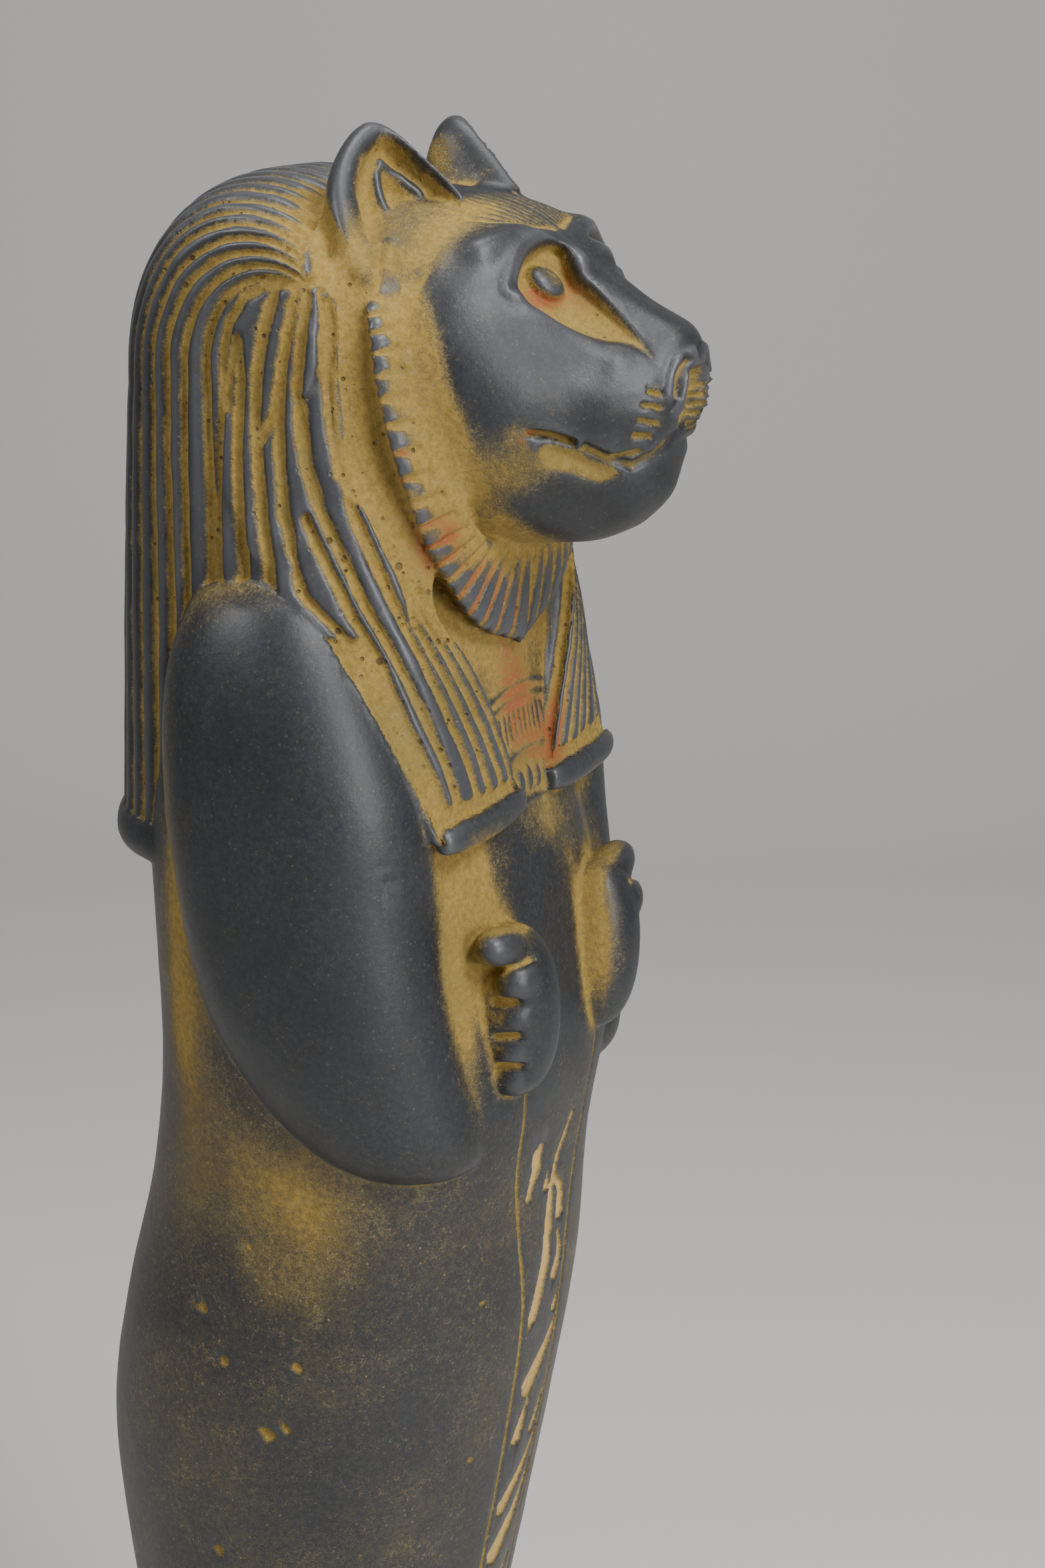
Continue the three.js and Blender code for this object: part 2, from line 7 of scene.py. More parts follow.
import bpy
import numpy as np
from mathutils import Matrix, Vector


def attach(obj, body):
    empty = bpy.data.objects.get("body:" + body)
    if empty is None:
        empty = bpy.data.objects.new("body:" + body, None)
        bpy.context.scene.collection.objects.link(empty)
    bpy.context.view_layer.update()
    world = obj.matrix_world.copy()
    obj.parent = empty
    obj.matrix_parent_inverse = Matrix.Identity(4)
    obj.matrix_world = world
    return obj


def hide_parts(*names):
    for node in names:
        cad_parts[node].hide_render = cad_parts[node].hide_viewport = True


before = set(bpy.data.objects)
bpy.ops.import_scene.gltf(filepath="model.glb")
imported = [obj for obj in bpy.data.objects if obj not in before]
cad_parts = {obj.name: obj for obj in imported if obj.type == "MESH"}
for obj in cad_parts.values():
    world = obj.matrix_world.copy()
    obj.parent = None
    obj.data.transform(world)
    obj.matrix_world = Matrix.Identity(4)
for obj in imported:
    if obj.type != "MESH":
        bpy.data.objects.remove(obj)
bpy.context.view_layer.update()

# %% [markdown]
# Everything below is worked out in millimetres, as a carver would mark it, and turned into metres when a
# mesh is made. A form is a short table of stations and a smooth curve through them, so a change of one
# station moves the whole form. It could be sculpted by hand instead, but a table can be read, measured and
# changed. Most tables hold the values of the CAD source, and the others stay within millimetres of it.

# %% curves
MM = 0.001


def ease(a, b, x):
    """0 below a, 1 above b, and a smooth S between them."""
    t = np.clip((np.asarray(x, float) - a) / (b - a), 0, 1)
    return t * t * (3 - 2 * t)


def power(c, n):
    """Signed power 2/n of a cosine or sine: n = 2 gives a circle, more gives a rounded box."""
    return np.sign(c) * np.abs(c) ** (2 / n)


def mix(a, b, t):
    """a plus the share t of the way to b."""
    return a + (b - a) * t


def at(stations, key):
    """Values of a table at every key: a cubic between neighbours with the slopes of the chords."""
    s = np.asarray(stations, float)
    k = np.clip(np.asarray(key, float), s[0, 0], s[-1, 0])
    i = np.clip(np.searchsorted(s[:, 0], k, side="left") - 1, 0, len(s) - 2)
    a, b = s[i], s[i + 1]
    before, after = s[np.maximum(i - 1, 0)], s[np.minimum(i + 2, len(s) - 1)]
    span = b[..., :1] - a[..., :1]
    t = (k[..., None] - a[..., :1]) / span
    slope_a = (b - before) / (b[..., :1] - before[..., :1]) * span
    slope_b = (after - a) / (after[..., :1] - a[..., :1]) * span
    value = (2 * t**3 - 3 * t**2 + 1) * a + (3 * t**2 - 2 * t**3) * b
    value += (t**3 - 2 * t**2 + t) * slope_a + (t**3 - t**2) * slope_b
    return value[..., 1:]


def near(points, path):
    """Distance of every point to a polyline, and the share of its length where it is nearest."""
    path = np.asarray(path, float)
    steps = np.diff(path, axis=0)
    lengths = np.linalg.norm(steps, axis=1)
    starts = np.concatenate([[0], np.cumsum(lengths)[:-1]])
    best = np.full(len(points), 1e9)
    share = np.zeros(len(points))
    for a, step, length, start in zip(path, steps, lengths, starts):
        t = np.clip((points - a) @ step / length**2, 0, 1)
        d = np.linalg.norm(points - a - t[:, None] * step, axis=1)
        closer = d < best
        best = np.where(closer, d, best)
        share = np.where(closer, (start + t * length) / lengths.sum(), share)
    return best, share


print("a small table read between its stations:", at([[0, 1], [10, 2], [20, 5]], 5.0))

# %% [markdown]
# A mass of the figure is a stack of rings with its two ends closed, laid over the next mass and later
# fused with it, the way a block is roughed out before the detail. Balls and boxes would be quicker, but
# rings can follow a traced outline. Each ring point also carries what the surface needs later: how far it
# is from the middle of the nearest carved groove, how wide that groove is, how dusty the place is, and
# which mass it belongs to.

# %% rings into closed skins
BODY_MASS, ARM_MASS, WIG_MASS, LAPPET_MASS, BAND_MASS = 1, 2, 3, 4, 5
HEAD_MASS, EAR_MASS, RUFF_MASS, HAND_MASS, BASE_MASS = 6, 7, 8, 9, 0
NO_GROOVE = 9.0
masses = []


def closed_skin(grid):
    """Points and triangles of a stack of rings: a wall between rings and a fan over each end."""
    rings, count = grid.shape[:2]
    points = np.concatenate([grid.reshape(-1, 3), grid[0].mean(0)[None], grid[-1].mean(0)[None]])
    number = np.arange(rings * count).reshape(rings, count)
    a, b = number[:-1], np.roll(number[:-1], -1, axis=1)
    c, d = np.roll(number[1:], -1, axis=1), number[1:]
    wall = np.concatenate([np.stack([a, b, c], -1).reshape(-1, 3), np.stack([a, c, d], -1).reshape(-1, 3)])
    fans = []
    for ring, pole, turned in ((number[0], rings * count, True), (number[-1], rings * count + 1, False)):
        following = np.roll(ring, -1)
        pair = (following, ring) if turned else (ring, following)
        fans.append(np.stack([np.full(count, pole), *pair], -1))
    triangles = np.concatenate([wall, *fans])
    corner = points[triangles]
    if np.einsum("ij,ij->i", corner[:, 0], np.cross(corner[:, 1], corner[:, 2])).sum() < 0:
        triangles = triangles[:, ::-1]
    return points, triangles


def add_mass(grid, mass, gap=NO_GROOVE, half=1.25, dusty=0.0, both=False):
    """Stores one closed skin, on both sides of the figure when asked, with its four surface facts."""
    for side in (1, -1) if both else (1,):
        points, triangles = closed_skin(grid * [side, 1, 1])
        facts = []
        for fact in (gap, half, dusty, mass):
            full = np.broadcast_to(np.asarray(fact, float), grid.shape[:2])
            facts.append(np.concatenate([full.ravel(), [full[0].mean(), full[-1].mean()]]))
        masses.append((points, triangles, np.stack(facts, -1)))


def turns(count):
    """Angles of a ring of that many points."""
    return np.arange(count) * 2 * np.pi / count


print("angles of a ring of four points:", turns(4).round(2))

# %% [markdown]
# The body is a wrapped trunk that narrows to the ankles, with a flat-arched front. It stands on a low
# slab with rounded corners. A profile turned on an axis would come out round, so each ring has a width, a
# front, a back and a squareness of its own. Below the edge of the photograph nothing shows, so the feet
# and the slab are kept plain, as such figures usually are.

# %% body and base
HEIGHT, BASE_TOP = 450, 13
# height, half width, widest line, front, back, how square the front is
BODY = [
    [0, 27, -8, -50, 26, 2.5],
    [19, 27, -8, -49, 26, 2.5],
    [28, 26.5, -6, -44, 26, 2.4],
    [37, 27, -2, -32, 27, 2.2],
    [48, 28, 2, -21, 30, 2.1],
    [80, 34, 8, -17.5, 38, 2.1],
    [110, 38.5, 10, -20.4, 43.5, 2.1],
    [135, 42, 11, -24, 46.4, 2.1],
    [163, 45.5, 10, -29.3, 50.4, 2.1],
    [195, 49, 9, -35, 51.8, 2.2],
    [221, 50, 6, -38.6, 47, 2.4],
    [250, 48, 2, -40, 39.4, 2.7],
    [275, 48.6, 0, -43, 35.6, 3],
    [300, 50, 0, -41, 35, 2.8],
    [325, 49, 0, -36, 36, 2.7],
    [350, 43, 0, -32, 36, 2.7],
    [370, 36, 2, -31, 33, 2.4],
    [388, 30, 4, -30, 30, 2.2],
]


def body_grid(z, turn):
    """Rings of the trunk: a rounded box whose front half is squarer than its back half."""
    half, wide, front, back, square = np.moveaxis(at(BODY, z), -1, 0)[..., None]
    c, s = np.cos(turn)[None], np.sin(turn)[None]
    n = np.where(s < 0, square, 2.1)
    reach = np.where(s < 0, wide - front, back - wide)
    y = wide + reach * power(s, n)
    return np.stack([half * power(c, n), y, np.broadcast_to(z[:, None], y.shape)], -1)


# the trunk starts inside the slab and ends inside the wig, a ring every 1.5 mm
AROUND = 200
body_z = np.arange(BASE_TOP / 2, 389, 1.5)
add_mass(body_grid(body_z, turns(AROUND)), BODY_MASS)

SLAB = {"half": 42, "front": -60, "back": 56, "corner": 12, "bevel": 1.6}
slab_rings = []
# how far each ring of the slab is drawn in, and its height
bevel = SLAB["bevel"]
for inset, z in ((0, 0), (0, 6), (0, BASE_TOP - bevel), (0.5, BASE_TOP - 0.45), (bevel, BASE_TOP)):
    turn = turns(AROUND)
    radius = SLAB["corner"] - inset
    x = np.sign(np.cos(turn)) * (SLAB["half"] - inset - radius) + radius * np.cos(turn)
    middle = np.where(np.sin(turn) > 0, SLAB["back"] - inset - radius, SLAB["front"] + inset + radius)
    slab_rings.append(np.stack([x, middle + radius * np.sin(turn), np.full(AROUND, float(z))], -1))
add_mass(np.stack(slab_rings), BASE_MASS)
print("body and base", [len(points) for points, _, _ in masses])

# %% [markdown]
# The upper arms are two upright boulders, rounded like a river stone, that lean out at the shoulder and
# come in at the elbow. Under the wrapping they show no joint and no fold, so a stack of rounded boxes is
# all that they need, and one table serves both sides.

# %% arms
# height, middle x, middle y, half width, half depth, how square
ARM = [
    [261.6, -29, -25, 8, 9, 2],
    [264, -31, -24, 13, 14.5, 2],
    [269, -32.5, -21.4, 16.4, 18.6, 2],
    [280, -34.6, -16.8, 18.8, 21.6, 2.05],
    [295, -36, -12.4, 20.4, 23.8, 2.2],
    [315, -36.4, -9, 20.8, 24.6, 2.3],
    [335, -36, -7, 20.6, 25, 2.3],
    [356, -34.6, -4, 19.4, 21.4, 2.3],
    [369, -33, -3, 16.5, 16, 2.2],
    [373, -32, -3, 12.5, 11.5, 2.1],
    [375, -31, -3, 7, 6.5, 2],
]
arm_z = np.concatenate([np.linspace(261.6, 270, 18), np.arange(271, 369, 1.5), np.linspace(369, 375, 18)])
arm_x, arm_y, arm_half, arm_deep, arm_square = np.moveaxis(at(ARM, arm_z), -1, 0)[..., None]
turn = turns(160)[None]
ring_x = arm_x + arm_half * power(np.cos(turn), arm_square)
ring_y = arm_y + arm_deep * power(np.sin(turn), arm_square)
arm_grid = np.stack([ring_x, ring_y, np.broadcast_to(arm_z[:, None], ring_x.shape)], -1)
add_mass(arm_grid, ARM_MASS, both=True)
print("arm rings", arm_grid.shape)

# %% [markdown]
# The wig is cut into locks of equal width. They rise straight up the back, turn over the crown and run
# forward beside the ears like the teeth of a comb. Each lock could be a strand of its own, but on the real
# figure a lock is only what was left between two grooves. So the wig is one smooth hood whose points know
# how far the next groove is. A carver's lines never run dead true, and each groove drifts a little of its
# own, from a seeded table.

# %% wig
WIG = {
    "half": 42,
    "square": 2.35,
    "hem": 316,
    "locks": 26,
    "sweep": np.radians(128),
    "bend": 2.12,
    "flare": 6.5,
}
OUTER = {"y": 9, "z": 402, "deep": 29, "high": 39.5}
INNER = {"y": -9, "z": 411, "deep": 12, "high": 12}
rng = np.random.default_rng(7)

quarter = np.linspace(0, np.pi / 2, 600)
arc_x = WIG["half"] * power(np.cos(quarter), WIG["square"])
arc_r = OUTER["high"] * power(np.sin(quarter), WIG["square"])
arc_step = np.hypot(np.diff(arc_x), np.diff(arc_r))
arc_share = np.concatenate([[0], np.cumsum(arc_step)]) / arc_step.sum()
arc_out_x = np.append(np.diff(arc_r) / arc_step, 0)
arc_out_r = np.append(-np.diff(arc_x) / arc_step, 1)


def wig_point(u, travel, push):
    """Skin of the wig at lock number u and travel 0 to 1 up the back and 1 to 2 over the crown."""
    u, travel = np.broadcast_arrays(np.asarray(u, float), np.asarray(travel, float))
    share = u / WIG["locks"] * 2 - 1
    side, share = np.where(share < 0, -1, 1), 1 - np.abs(share)
    x, high = np.interp(share, arc_share, arc_x), np.interp(share, arc_share, arc_r) / OUTER["high"]
    out_x, out_r = np.interp(share, arc_share, arc_out_x), np.interp(share, arc_share, arc_out_r)
    y, z = mix(INNER["y"], OUTER["y"], high), mix(INNER["z"], OUTER["z"], high)
    deep = mix(INNER["deep"], OUTER["deep"], high) + out_r * push
    tall = mix(INNER["high"], OUTER["high"], high) + out_r * push
    turn = np.maximum(0, travel - 1) * WIG["sweep"]
    flare = WIG["flare"] * high * np.maximum(0, 1 - travel) ** 0.8
    y = y + deep * power(np.cos(turn), WIG["bend"]) + flare
    z = np.where(travel <= 1, mix(WIG["hem"], z, travel), z + tall * power(np.sin(turn), WIG["bend"]))
    return np.stack([side * (x + out_x * push), y, z], -1)


def wig_ring(u, travel, push):
    """Rings of the wig closed behind the head by three plain points."""
    outside = wig_point(u[None], travel[:, None], push)
    turn = np.maximum(0, travel - 1) * WIG["sweep"]
    z = np.where(travel > 1, INNER["z"] + 4 * np.sin(turn), mix(WIG["hem"], INNER["z"], travel))
    y = INNER["y"] + 4 * np.cos(turn)
    inside = [np.stack([np.full_like(y, side * WIG["half"]), y, z], -1) for side in (0.9, 0, -0.9)]
    return np.concatenate([outside, np.stack(inside, 1)], 1)


# points across the wig, plain points behind the head, and the travel where its grooves run out
WIG_ACROSS, WIG_BEHIND, GROOVES_END = 520, 3, 1.955
wig_u = np.linspace(0.01, WIG["locks"] - 0.01, WIG_ACROSS)
wig_travel = np.concatenate([np.linspace(0.045, 1, 64), np.linspace(1, 2, 150)[1:]])
wig_grid = wig_ring(wig_u, wig_travel, 0)
groove_at = np.arange(WIG["locks"]) + 0.91 + rng.normal(0, 0.06, WIG["locks"])
drift = rng.normal(0, 0.05, (WIG["locks"], 3)) @ np.sin(
    np.array([[2.1], [3.7], [6.3]]) * wig_travel + np.array([[0.4], [1.9], [0.8]])
)
lock_width = np.linalg.norm(np.gradient(wig_grid[:, :WIG_ACROSS], wig_u, axis=1), axis=-1)
wig_gap = np.abs(wig_u[None, None] - (groove_at[:, None] + drift)[:, :, None]).min(0) * lock_width
wig_gap = np.where(wig_travel[:, None] > GROOVES_END, NO_GROOVE, wig_gap)
wig_gap = np.concatenate([wig_gap, np.full((len(wig_travel), WIG_BEHIND), NO_GROOVE)], 1)
add_mass(wig_grid, WIG_MASS, wig_gap, 1.4)
print("locks about", round(float(np.median(lock_width)), 2), "mm wide")

# %% [markdown]
# Down the back the locks end above a rolled hem. It is the wig's own outline once more, at a few heights
# near the hem line and standing off by the profile of a roll, so it follows the wig all the way round.

# %% rolled hem
# height above the hem line, how far it stands off
ROLL = [[0, -2.4], [0.5, -0.2], [2.4, 1.1], [5.6, 1.1], [7.6, 0.1], [8.6, -2]]
roll_up = np.linspace(0, ROLL[-1][0], 16)
roll_rings = [
    wig_ring(np.linspace(0.4, 25.6, 240), np.array([up / (OUTER["z"] - WIG["hem"])]), off)[0]
    for up, off in zip(roll_up, at(ROLL, roll_up)[:, 0])
]
add_mass(np.stack(roll_rings), BAND_MASS)
print("hem is", ROLL[-1][0], "mm high")

# %% [markdown]
# Between the wig and the front lappet a panel of straight locks drops to the shoulder. It is a thin slab
# on the side of the wig. Its grooves were read off the photograph in the plane of the side: two of them
# fork, and two run together in a V, which no even spacing would give.

# %% side panel
PANEL = {
    "front": -9.5,
    "upper front": -15.5,
    "back": 4.4,
    "top": 423.6,
    "bottom": 360,
    "proud": 0.2,
    "splay": 0.035,
    "depth": 8,
}
# each groove in the side plane: y and z of its points, from top to bottom
INNER_ARC = [
    [-12.9, 424.7], [-5.5, 424], [-1.2, 422.2], [2, 417.9], [3.5, 412],
    [4, 403.8], [4.7, 392.8], [5.1, 384.4], [5, 360],
]
SIDE_GROOVES = [
    INNER_ARC,
    [[0.5, 414.5], [2, 409.3], [2.7, 403.3]],
    [[0.5, 414.5], [-0.1, 407.8], [0.3, 401.3], [0.4, 395.8], [0, 384.8], [-0.8, 374.9], [-1.2, 360]],
    [
        [-7.2, 423.7], [-4.9, 416.7], [-3.5, 409.6], [-3.1, 401.5],
        [-3.8, 393.4], [-4.7, 385.2], [-6.2, 377], [-7, 360],
    ],
    [[-7.8, 407.2], [-6.8, 402.6], [-4.1, 398.1]],
    [
        [-11.5, 425.4], [-9.8, 418], [-8.3, 409.9], [-7.7, 401.8],
        [-8, 393.7], [-8.8, 385.5], [-10.6, 380.2], [-13.7, 374.9],
    ],
    [
        [-14.8, 428.7], [-12.9, 423.4], [-11.9, 415.4], [-11.2, 407.4], [-11.6, 402.1],
        [-12.6, 394], [-15, 387.7], [-18.1, 381.9], [-22.4, 375.7],
    ],
    [
        [-15.9, 425.6], [-16.8, 417.3], [-16.5, 407.7], [-17.1, 400.8],
        [-18.8, 392.8], [-22.4, 387.1], [-25.4, 381.4],
    ],
]


def groove_gap(y, z, grooves):
    """Distance in the side plane to the nearest of several grooves."""
    flat = np.stack([np.ravel(y), np.ravel(z)], -1)
    return np.min([near(flat, path)[0] for path in grooves], axis=0).reshape(np.shape(y))


# points across the panel's face, and the radius of the wig's inner arc that its back edge follows
PANEL_ACROSS, ARC_RADIUS = 70, 13.3
panel_z = np.linspace(PANEL["top"], PANEL["bottom"], 150)
over_arc = np.maximum(panel_z - INNER["z"], 0)
on_arc = INNER["y"] + np.sqrt(np.maximum(ARC_RADIUS**2 - over_arc**2, 0))
panel_back = np.where(over_arc > 0, on_arc, PANEL["back"])
panel_front = mix(PANEL["front"], PANEL["upper front"], ease(398, 412, panel_z))
panel_share = np.concatenate([np.linspace(0, 1, PANEL_ACROSS), [0.9, 0.1]])
panel_deep = np.append(np.zeros(PANEL_ACROSS), [PANEL["depth"]] * 2)
panel_sink = panel_deep + 0.9 * ease(417, PANEL["top"], panel_z)[:, None]
panel_out = WIG["half"] + PANEL["proud"] + np.maximum(416 - panel_z, 0) * PANEL["splay"]
panel_x = -panel_out[:, None] + panel_sink
panel_y = mix(panel_front[:, None], panel_back[:, None], panel_share)
panel_grid = np.stack([panel_x, panel_y, np.broadcast_to(panel_z[:, None], panel_x.shape)], -1)
panel_gap = groove_gap(panel_grid[..., 1], panel_grid[..., 2], SIDE_GROOVES)
add_mass(panel_grid, LAPPET_MASS, panel_gap, 1.0, both=True)
print("panel", panel_grid.shape)

# %% [markdown]
# The lappet starts beside the ear, turns round the shoulder and ends on the chest in a rolled band. It is
# a sheet between an inner and an outer edge, like a strap laid on the chest. A flat strap could be bent
# into place, but two edges in space can be traced one by one. The locks split and meet on the way, and
# the table of grooves gives them as shares of the width, so that they bend with the sheet.

# %% course of the lappet
# share of its length, inner edge x y z, outer edge x y z, how far it bows out
SHEET = [
    [0, -35.4, -17, 428.4, -39.2, 0, 420.4, 0.4],
    [0.12, -39.6, -17, 417, -42, 2.6, 411, 0.6],
    [0.25, -40.4, -17.4, 405, -42.8, 3.6, 400, 0.8],
    [0.38, -40.2, -19, 394, -43.6, 2, 388, 1.4],
    [0.5, -38.2, -24.6, 383, -44.8, -3, 378, 2],
    [0.62, -33.4, -30.2, 371.5, -46, -10.5, 371, 2.8],
    [0.75, -23.4, -34.6, 358, -45, -20.5, 361, 3.2],
    [0.88, -13.4, -36.4, 342, -42, -30, 344.5, 2.4],
    [1, -6.8, -37.2, 328, -38.3, -36, 328, 1.4],
]
# share of the length where the grooves end, and where the broad strip next to the arm starts
LOCK_END, STRIP_FROM = 0.965, 0.7
# each groove as it runs: share of the length, share of the width from the inner edge
LAPPET_GROOVES = [
    [[0.45, 0.66], [0.52, 0.72], [0.6, 0.84]],
    [
        [0.447, 0.445], [0.52, 0.48], [0.59, 0.54], [0.68, 0.67],
        [0.734, 0.734], [0.79, 0.8], [0.86, 0.855], [LOCK_END, 0.872],
    ],
    [
        [0.36, 0.33], [0.447, 0.317], [0.51, 0.338], [0.577, 0.392],
        [0.658, 0.5], [0.752, 0.629], [0.833, 0.683], [LOCK_END, 0.72],
    ],
    [
        [0.36, 0.08], [0.46, 0.094], [0.521, 0.133], [0.583, 0.187], [0.65, 0.265],
        [0.716, 0.377], [0.776, 0.449], [0.846, 0.5], [LOCK_END, 0.515],
    ],
    [
        [0.42, -0.06], [0.505, -0.017], [0.578, 0.025], [0.626, 0.088],
        [0.677, 0.22], [0.736, 0.3], [0.808, 0.345], [LOCK_END, 0.375],
    ],
    [[0.6, 0], [0.666, 0.112], [0.72, 0.163], [0.778, 0.21], [0.845, 0.22], [LOCK_END, 0.205]],
    [[0.63, -0.02], [0.689, 0.04], [0.746, 0.07], [0.804, 0.075], [LOCK_END, 0.055]],
]


def sheet_point(along, across, sink):
    """Skin of the lappet: straight from its inner to its outer edge, bowed outwards between them."""
    x0, y0, z0, x1, y1, z1, bow = np.moveaxis(at(SHEET, along), -1, 0)
    out_x, out_y = -(y1 - y0), -(x0 - x1)
    length = np.hypot(out_x, out_y)
    push = (bow * 4 * across * (1 - across) - sink) / length
    x, y = mix(x0, x1, across) + out_x * push, mix(y0, y1, across) + out_y * push
    return np.stack([x, y, mix(z0, z1, across)], -1)


print("lappet has", len(LAPPET_GROOVES), "grooves and starts at", sheet_point(0.0, 0.0, 0.0).round(1))

# %% [markdown]
# Next to the face lies a plain sunk strip, and next to the arm a broad dusty one. Each ring of the sheet
# therefore has three parts: the strip, the locks and a plain back that lies inside the figure. At every
# point the distance to the nearest groove is measured across, and above the start of a groove along as
# well, so that the groove begins in a rounded end.

# %% lappets
# rings down the lappet, and the points of each: sunk strip, locks, plain back
ROWS, STRIP, LOCKS, BACK = 240, 14, 110, 3
# how long the lappet is, how far the strip is sunk and the back lies inside, and the slant of the grooves
LONG, STRIP_SINK, BACK_SINK, SLANT = 112, 1.9, 9.0, 0.85
sheet_along = np.linspace(0, 1, ROWS)[:, None]
filler = -0.34 * (1 - ease(0.5, 0.68, sheet_along)) - 0.01
strip = filler * np.linspace(1, 0.16, STRIP)
sheet_across = np.concatenate([strip, np.broadcast_to(np.linspace(0, 1, LOCKS), (ROWS, LOCKS))], 1)
sheet_back = np.concatenate([np.full((ROWS, 1), 0.96), np.full((ROWS, 1), 0.5), filler], 1)
sheet_grid = sheet_point(
    np.broadcast_to(sheet_along, (ROWS, STRIP + LOCKS + BACK)),
    np.concatenate([sheet_across, sheet_back], 1),
    np.repeat([STRIP_SINK, 0, BACK_SINK], [STRIP, LOCKS, BACK]),
)
sheet_width = np.linalg.norm(sheet_grid[:, STRIP] - sheet_grid[:, STRIP + LOCKS - 1], axis=1)[:, None]
sheet_gap = np.full(sheet_across.shape, NO_GROOVE)
for path in LAPPET_GROOVES:
    line = np.array(path)
    sideways = (sheet_across - np.interp(sheet_along, line[:, 0], line[:, 1])) * sheet_width * SLANT
    before = np.maximum(line[0, 0] - sheet_along, 0) * LONG
    sheet_gap = np.minimum(sheet_gap, np.hypot(sideways, before))
sheet_gap = np.where(sheet_across < 0, 0.0, sheet_gap)
strip_line = np.interp(sheet_along, *np.array(LAPPET_GROOVES[1]).T)
outer_strip = np.where(sheet_along > STRIP_FROM, (strip_line - sheet_across) * sheet_width, NO_GROOVE)
sheet_gap = np.minimum(sheet_gap, np.maximum(outer_strip, 0))
to_end = np.maximum((LOCK_END - sheet_along) * LONG, 0.001)
sheet_gap = sheet_gap * to_end / np.hypot(sheet_gap, to_end)
sheet_gap = np.concatenate([sheet_gap, np.full((ROWS, BACK), NO_GROOVE)], 1)
sheet_dusty = np.concatenate([sheet_across < -0.02, np.zeros((ROWS, BACK), bool)], 1).astype(float)
add_mass(sheet_grid, LAPPET_MASS, sheet_gap, 1.15, sheet_dusty, both=True)
print("lappet is", round(float(sheet_width.min()), 1), "to", round(float(sheet_width.max()), 1), "mm wide")

# %% [markdown]
# The band at the end of a lappet is a roll, thinner at its ends, with a shallow nick at each lock. A plain
# cylinder would leave the chest at both ends, so its middle line is taken from the end of the sheet.

# %% bands
BAND_HALF, NICKS = 2.8, 13
band_share = np.linspace(0, 1, 120)
band_middle = sheet_point(np.ones_like(band_share), mix(0, 0.97, band_share), 0.6)
nick = 0.16 * np.maximum(0, np.cos(band_share * 2 * np.pi * NICKS)) ** 6
band_thick = (BAND_HALF * (1 - 0.28 * np.abs(band_share * 2 - 1) ** 6) - nick)[:, None]
turn = turns(36)[None]
band_y = band_middle[:, 1:2] - 0.75 * band_thick * power(np.cos(turn), 2.4)
band_z = band_middle[:, 2:] + band_thick * power(np.sin(turn), 2.4)
band_grid = np.stack([np.broadcast_to(band_middle[:, :1], band_y.shape), band_y, band_z], -1)
add_mass(band_grid, BAND_MASS, both=True)
print("band is up to", round(2 * float(band_thick.max()), 1), "mm thick")

# %% [markdown]
# The head is lofted from front to back, because its outline changes most along that way. The brow, the
# bridge and the whisker pads are soft pushes on it, each a line with a reach and a height, like clay
# pressed up from inside. A push blends into the form around it, where an added ball would leave a seam.

# %% head
# depth, top, bottom, half width, height of the widest line, how square above and below
HEAD = [
    [-67.6, 413.4, 402.4, 4.6, 407.4, 2, 2],
    [-66.4, 415.2, 398.6, 8.2, 405.4, 1.8, 2.2],
    [-64.8, 416.4, 396, 11, 404, 1.7, 2.2],
    [-63.4, 417.1, 391.4, 12.8, 403.2, 1.65, 1.9],
    [-61.4, 418, 386, 14.6, 402.6, 1.6, 1.8],
    [-58, 419.6, 381, 17.2, 402, 1.6, 1.8],
    [-55, 421.4, 379, 19, 401.8, 1.6, 1.9],
    [-50, 424.6, 377, 22.6, 403, 1.8, 2.1],
    [-45, 429, 376.4, 26, 405, 2.2, 2.2],
    [-40, 432.4, 376, 29.2, 407, 2.5, 2.2],
    [-34, 435.4, 375.6, 32.2, 409, 2.4, 2.2],
    [-26, 437.4, 375, 34.6, 410, 2.25, 2.2],
    [-16, 438.4, 375, 36.2, 409, 2.3, 2.2],
    [0, 438, 375, 37, 408, 2.3, 2.2],
]
# from a, to b, reach, height
PUSHES = [
    [-22, -36, 429.5, -12.5, -41.5, 433, 3, 1.8],
    [-12.5, -41.5, 433, -6, -47.5, 427.6, 2.6, 1.5],
    [-3, -48, 426.5, -3.6, -64, 415, 2.6, 0.6],
    [-21, -43.5, 418.6, -13, -57, 411, 3.4, 1],
    [-17, -56, 404.5, -12.6, -62, 403.4, 5, 1],
    [-30, -34, 411, -26, -41, 404, 9, 1.3],
    [-20, -50, 385, -13, -55, 382, 5, -1],
    [-4, -60.5, 386, 0, -61, 386, 4.5, 1],
]


def head_grid(y, turn):
    """Rings of the head: rounded boxes with their own squareness above and below the widest line."""
    top, bottom, half, wide, square_up, square_down = np.moveaxis(at(HEAD, y), -1, 0)[..., None]
    c, s = np.cos(turn)[None], np.sin(turn)[None]
    n = np.where(s > 0, square_up, square_down)
    reach = np.where(s > 0, top - wide, wide - bottom)
    z = wide + reach * power(s, n)
    return np.stack([half * power(c, n), np.broadcast_to(y[:, None], z.shape), z], -1)


def grid_normals(grid, centre):
    """Unit normals of a ring grid from its two directions, pointing away from the centre."""
    along = np.gradient(grid, axis=0)
    around = np.roll(grid, -1, axis=1) - np.roll(grid, 1, axis=1)
    normal = np.cross(along, around)
    normal /= np.linalg.norm(normal, axis=-1, keepdims=True) + 1e-12
    outwards = np.sign(((grid - centre) * normal).sum(-1, keepdims=True))
    return normal * outwards


def right_side(points):
    """The same points folded onto the figure's right side, x below zero, where the tables are written."""
    return np.concatenate([-np.abs(points[:, :1]), points[:, 1:]], 1)


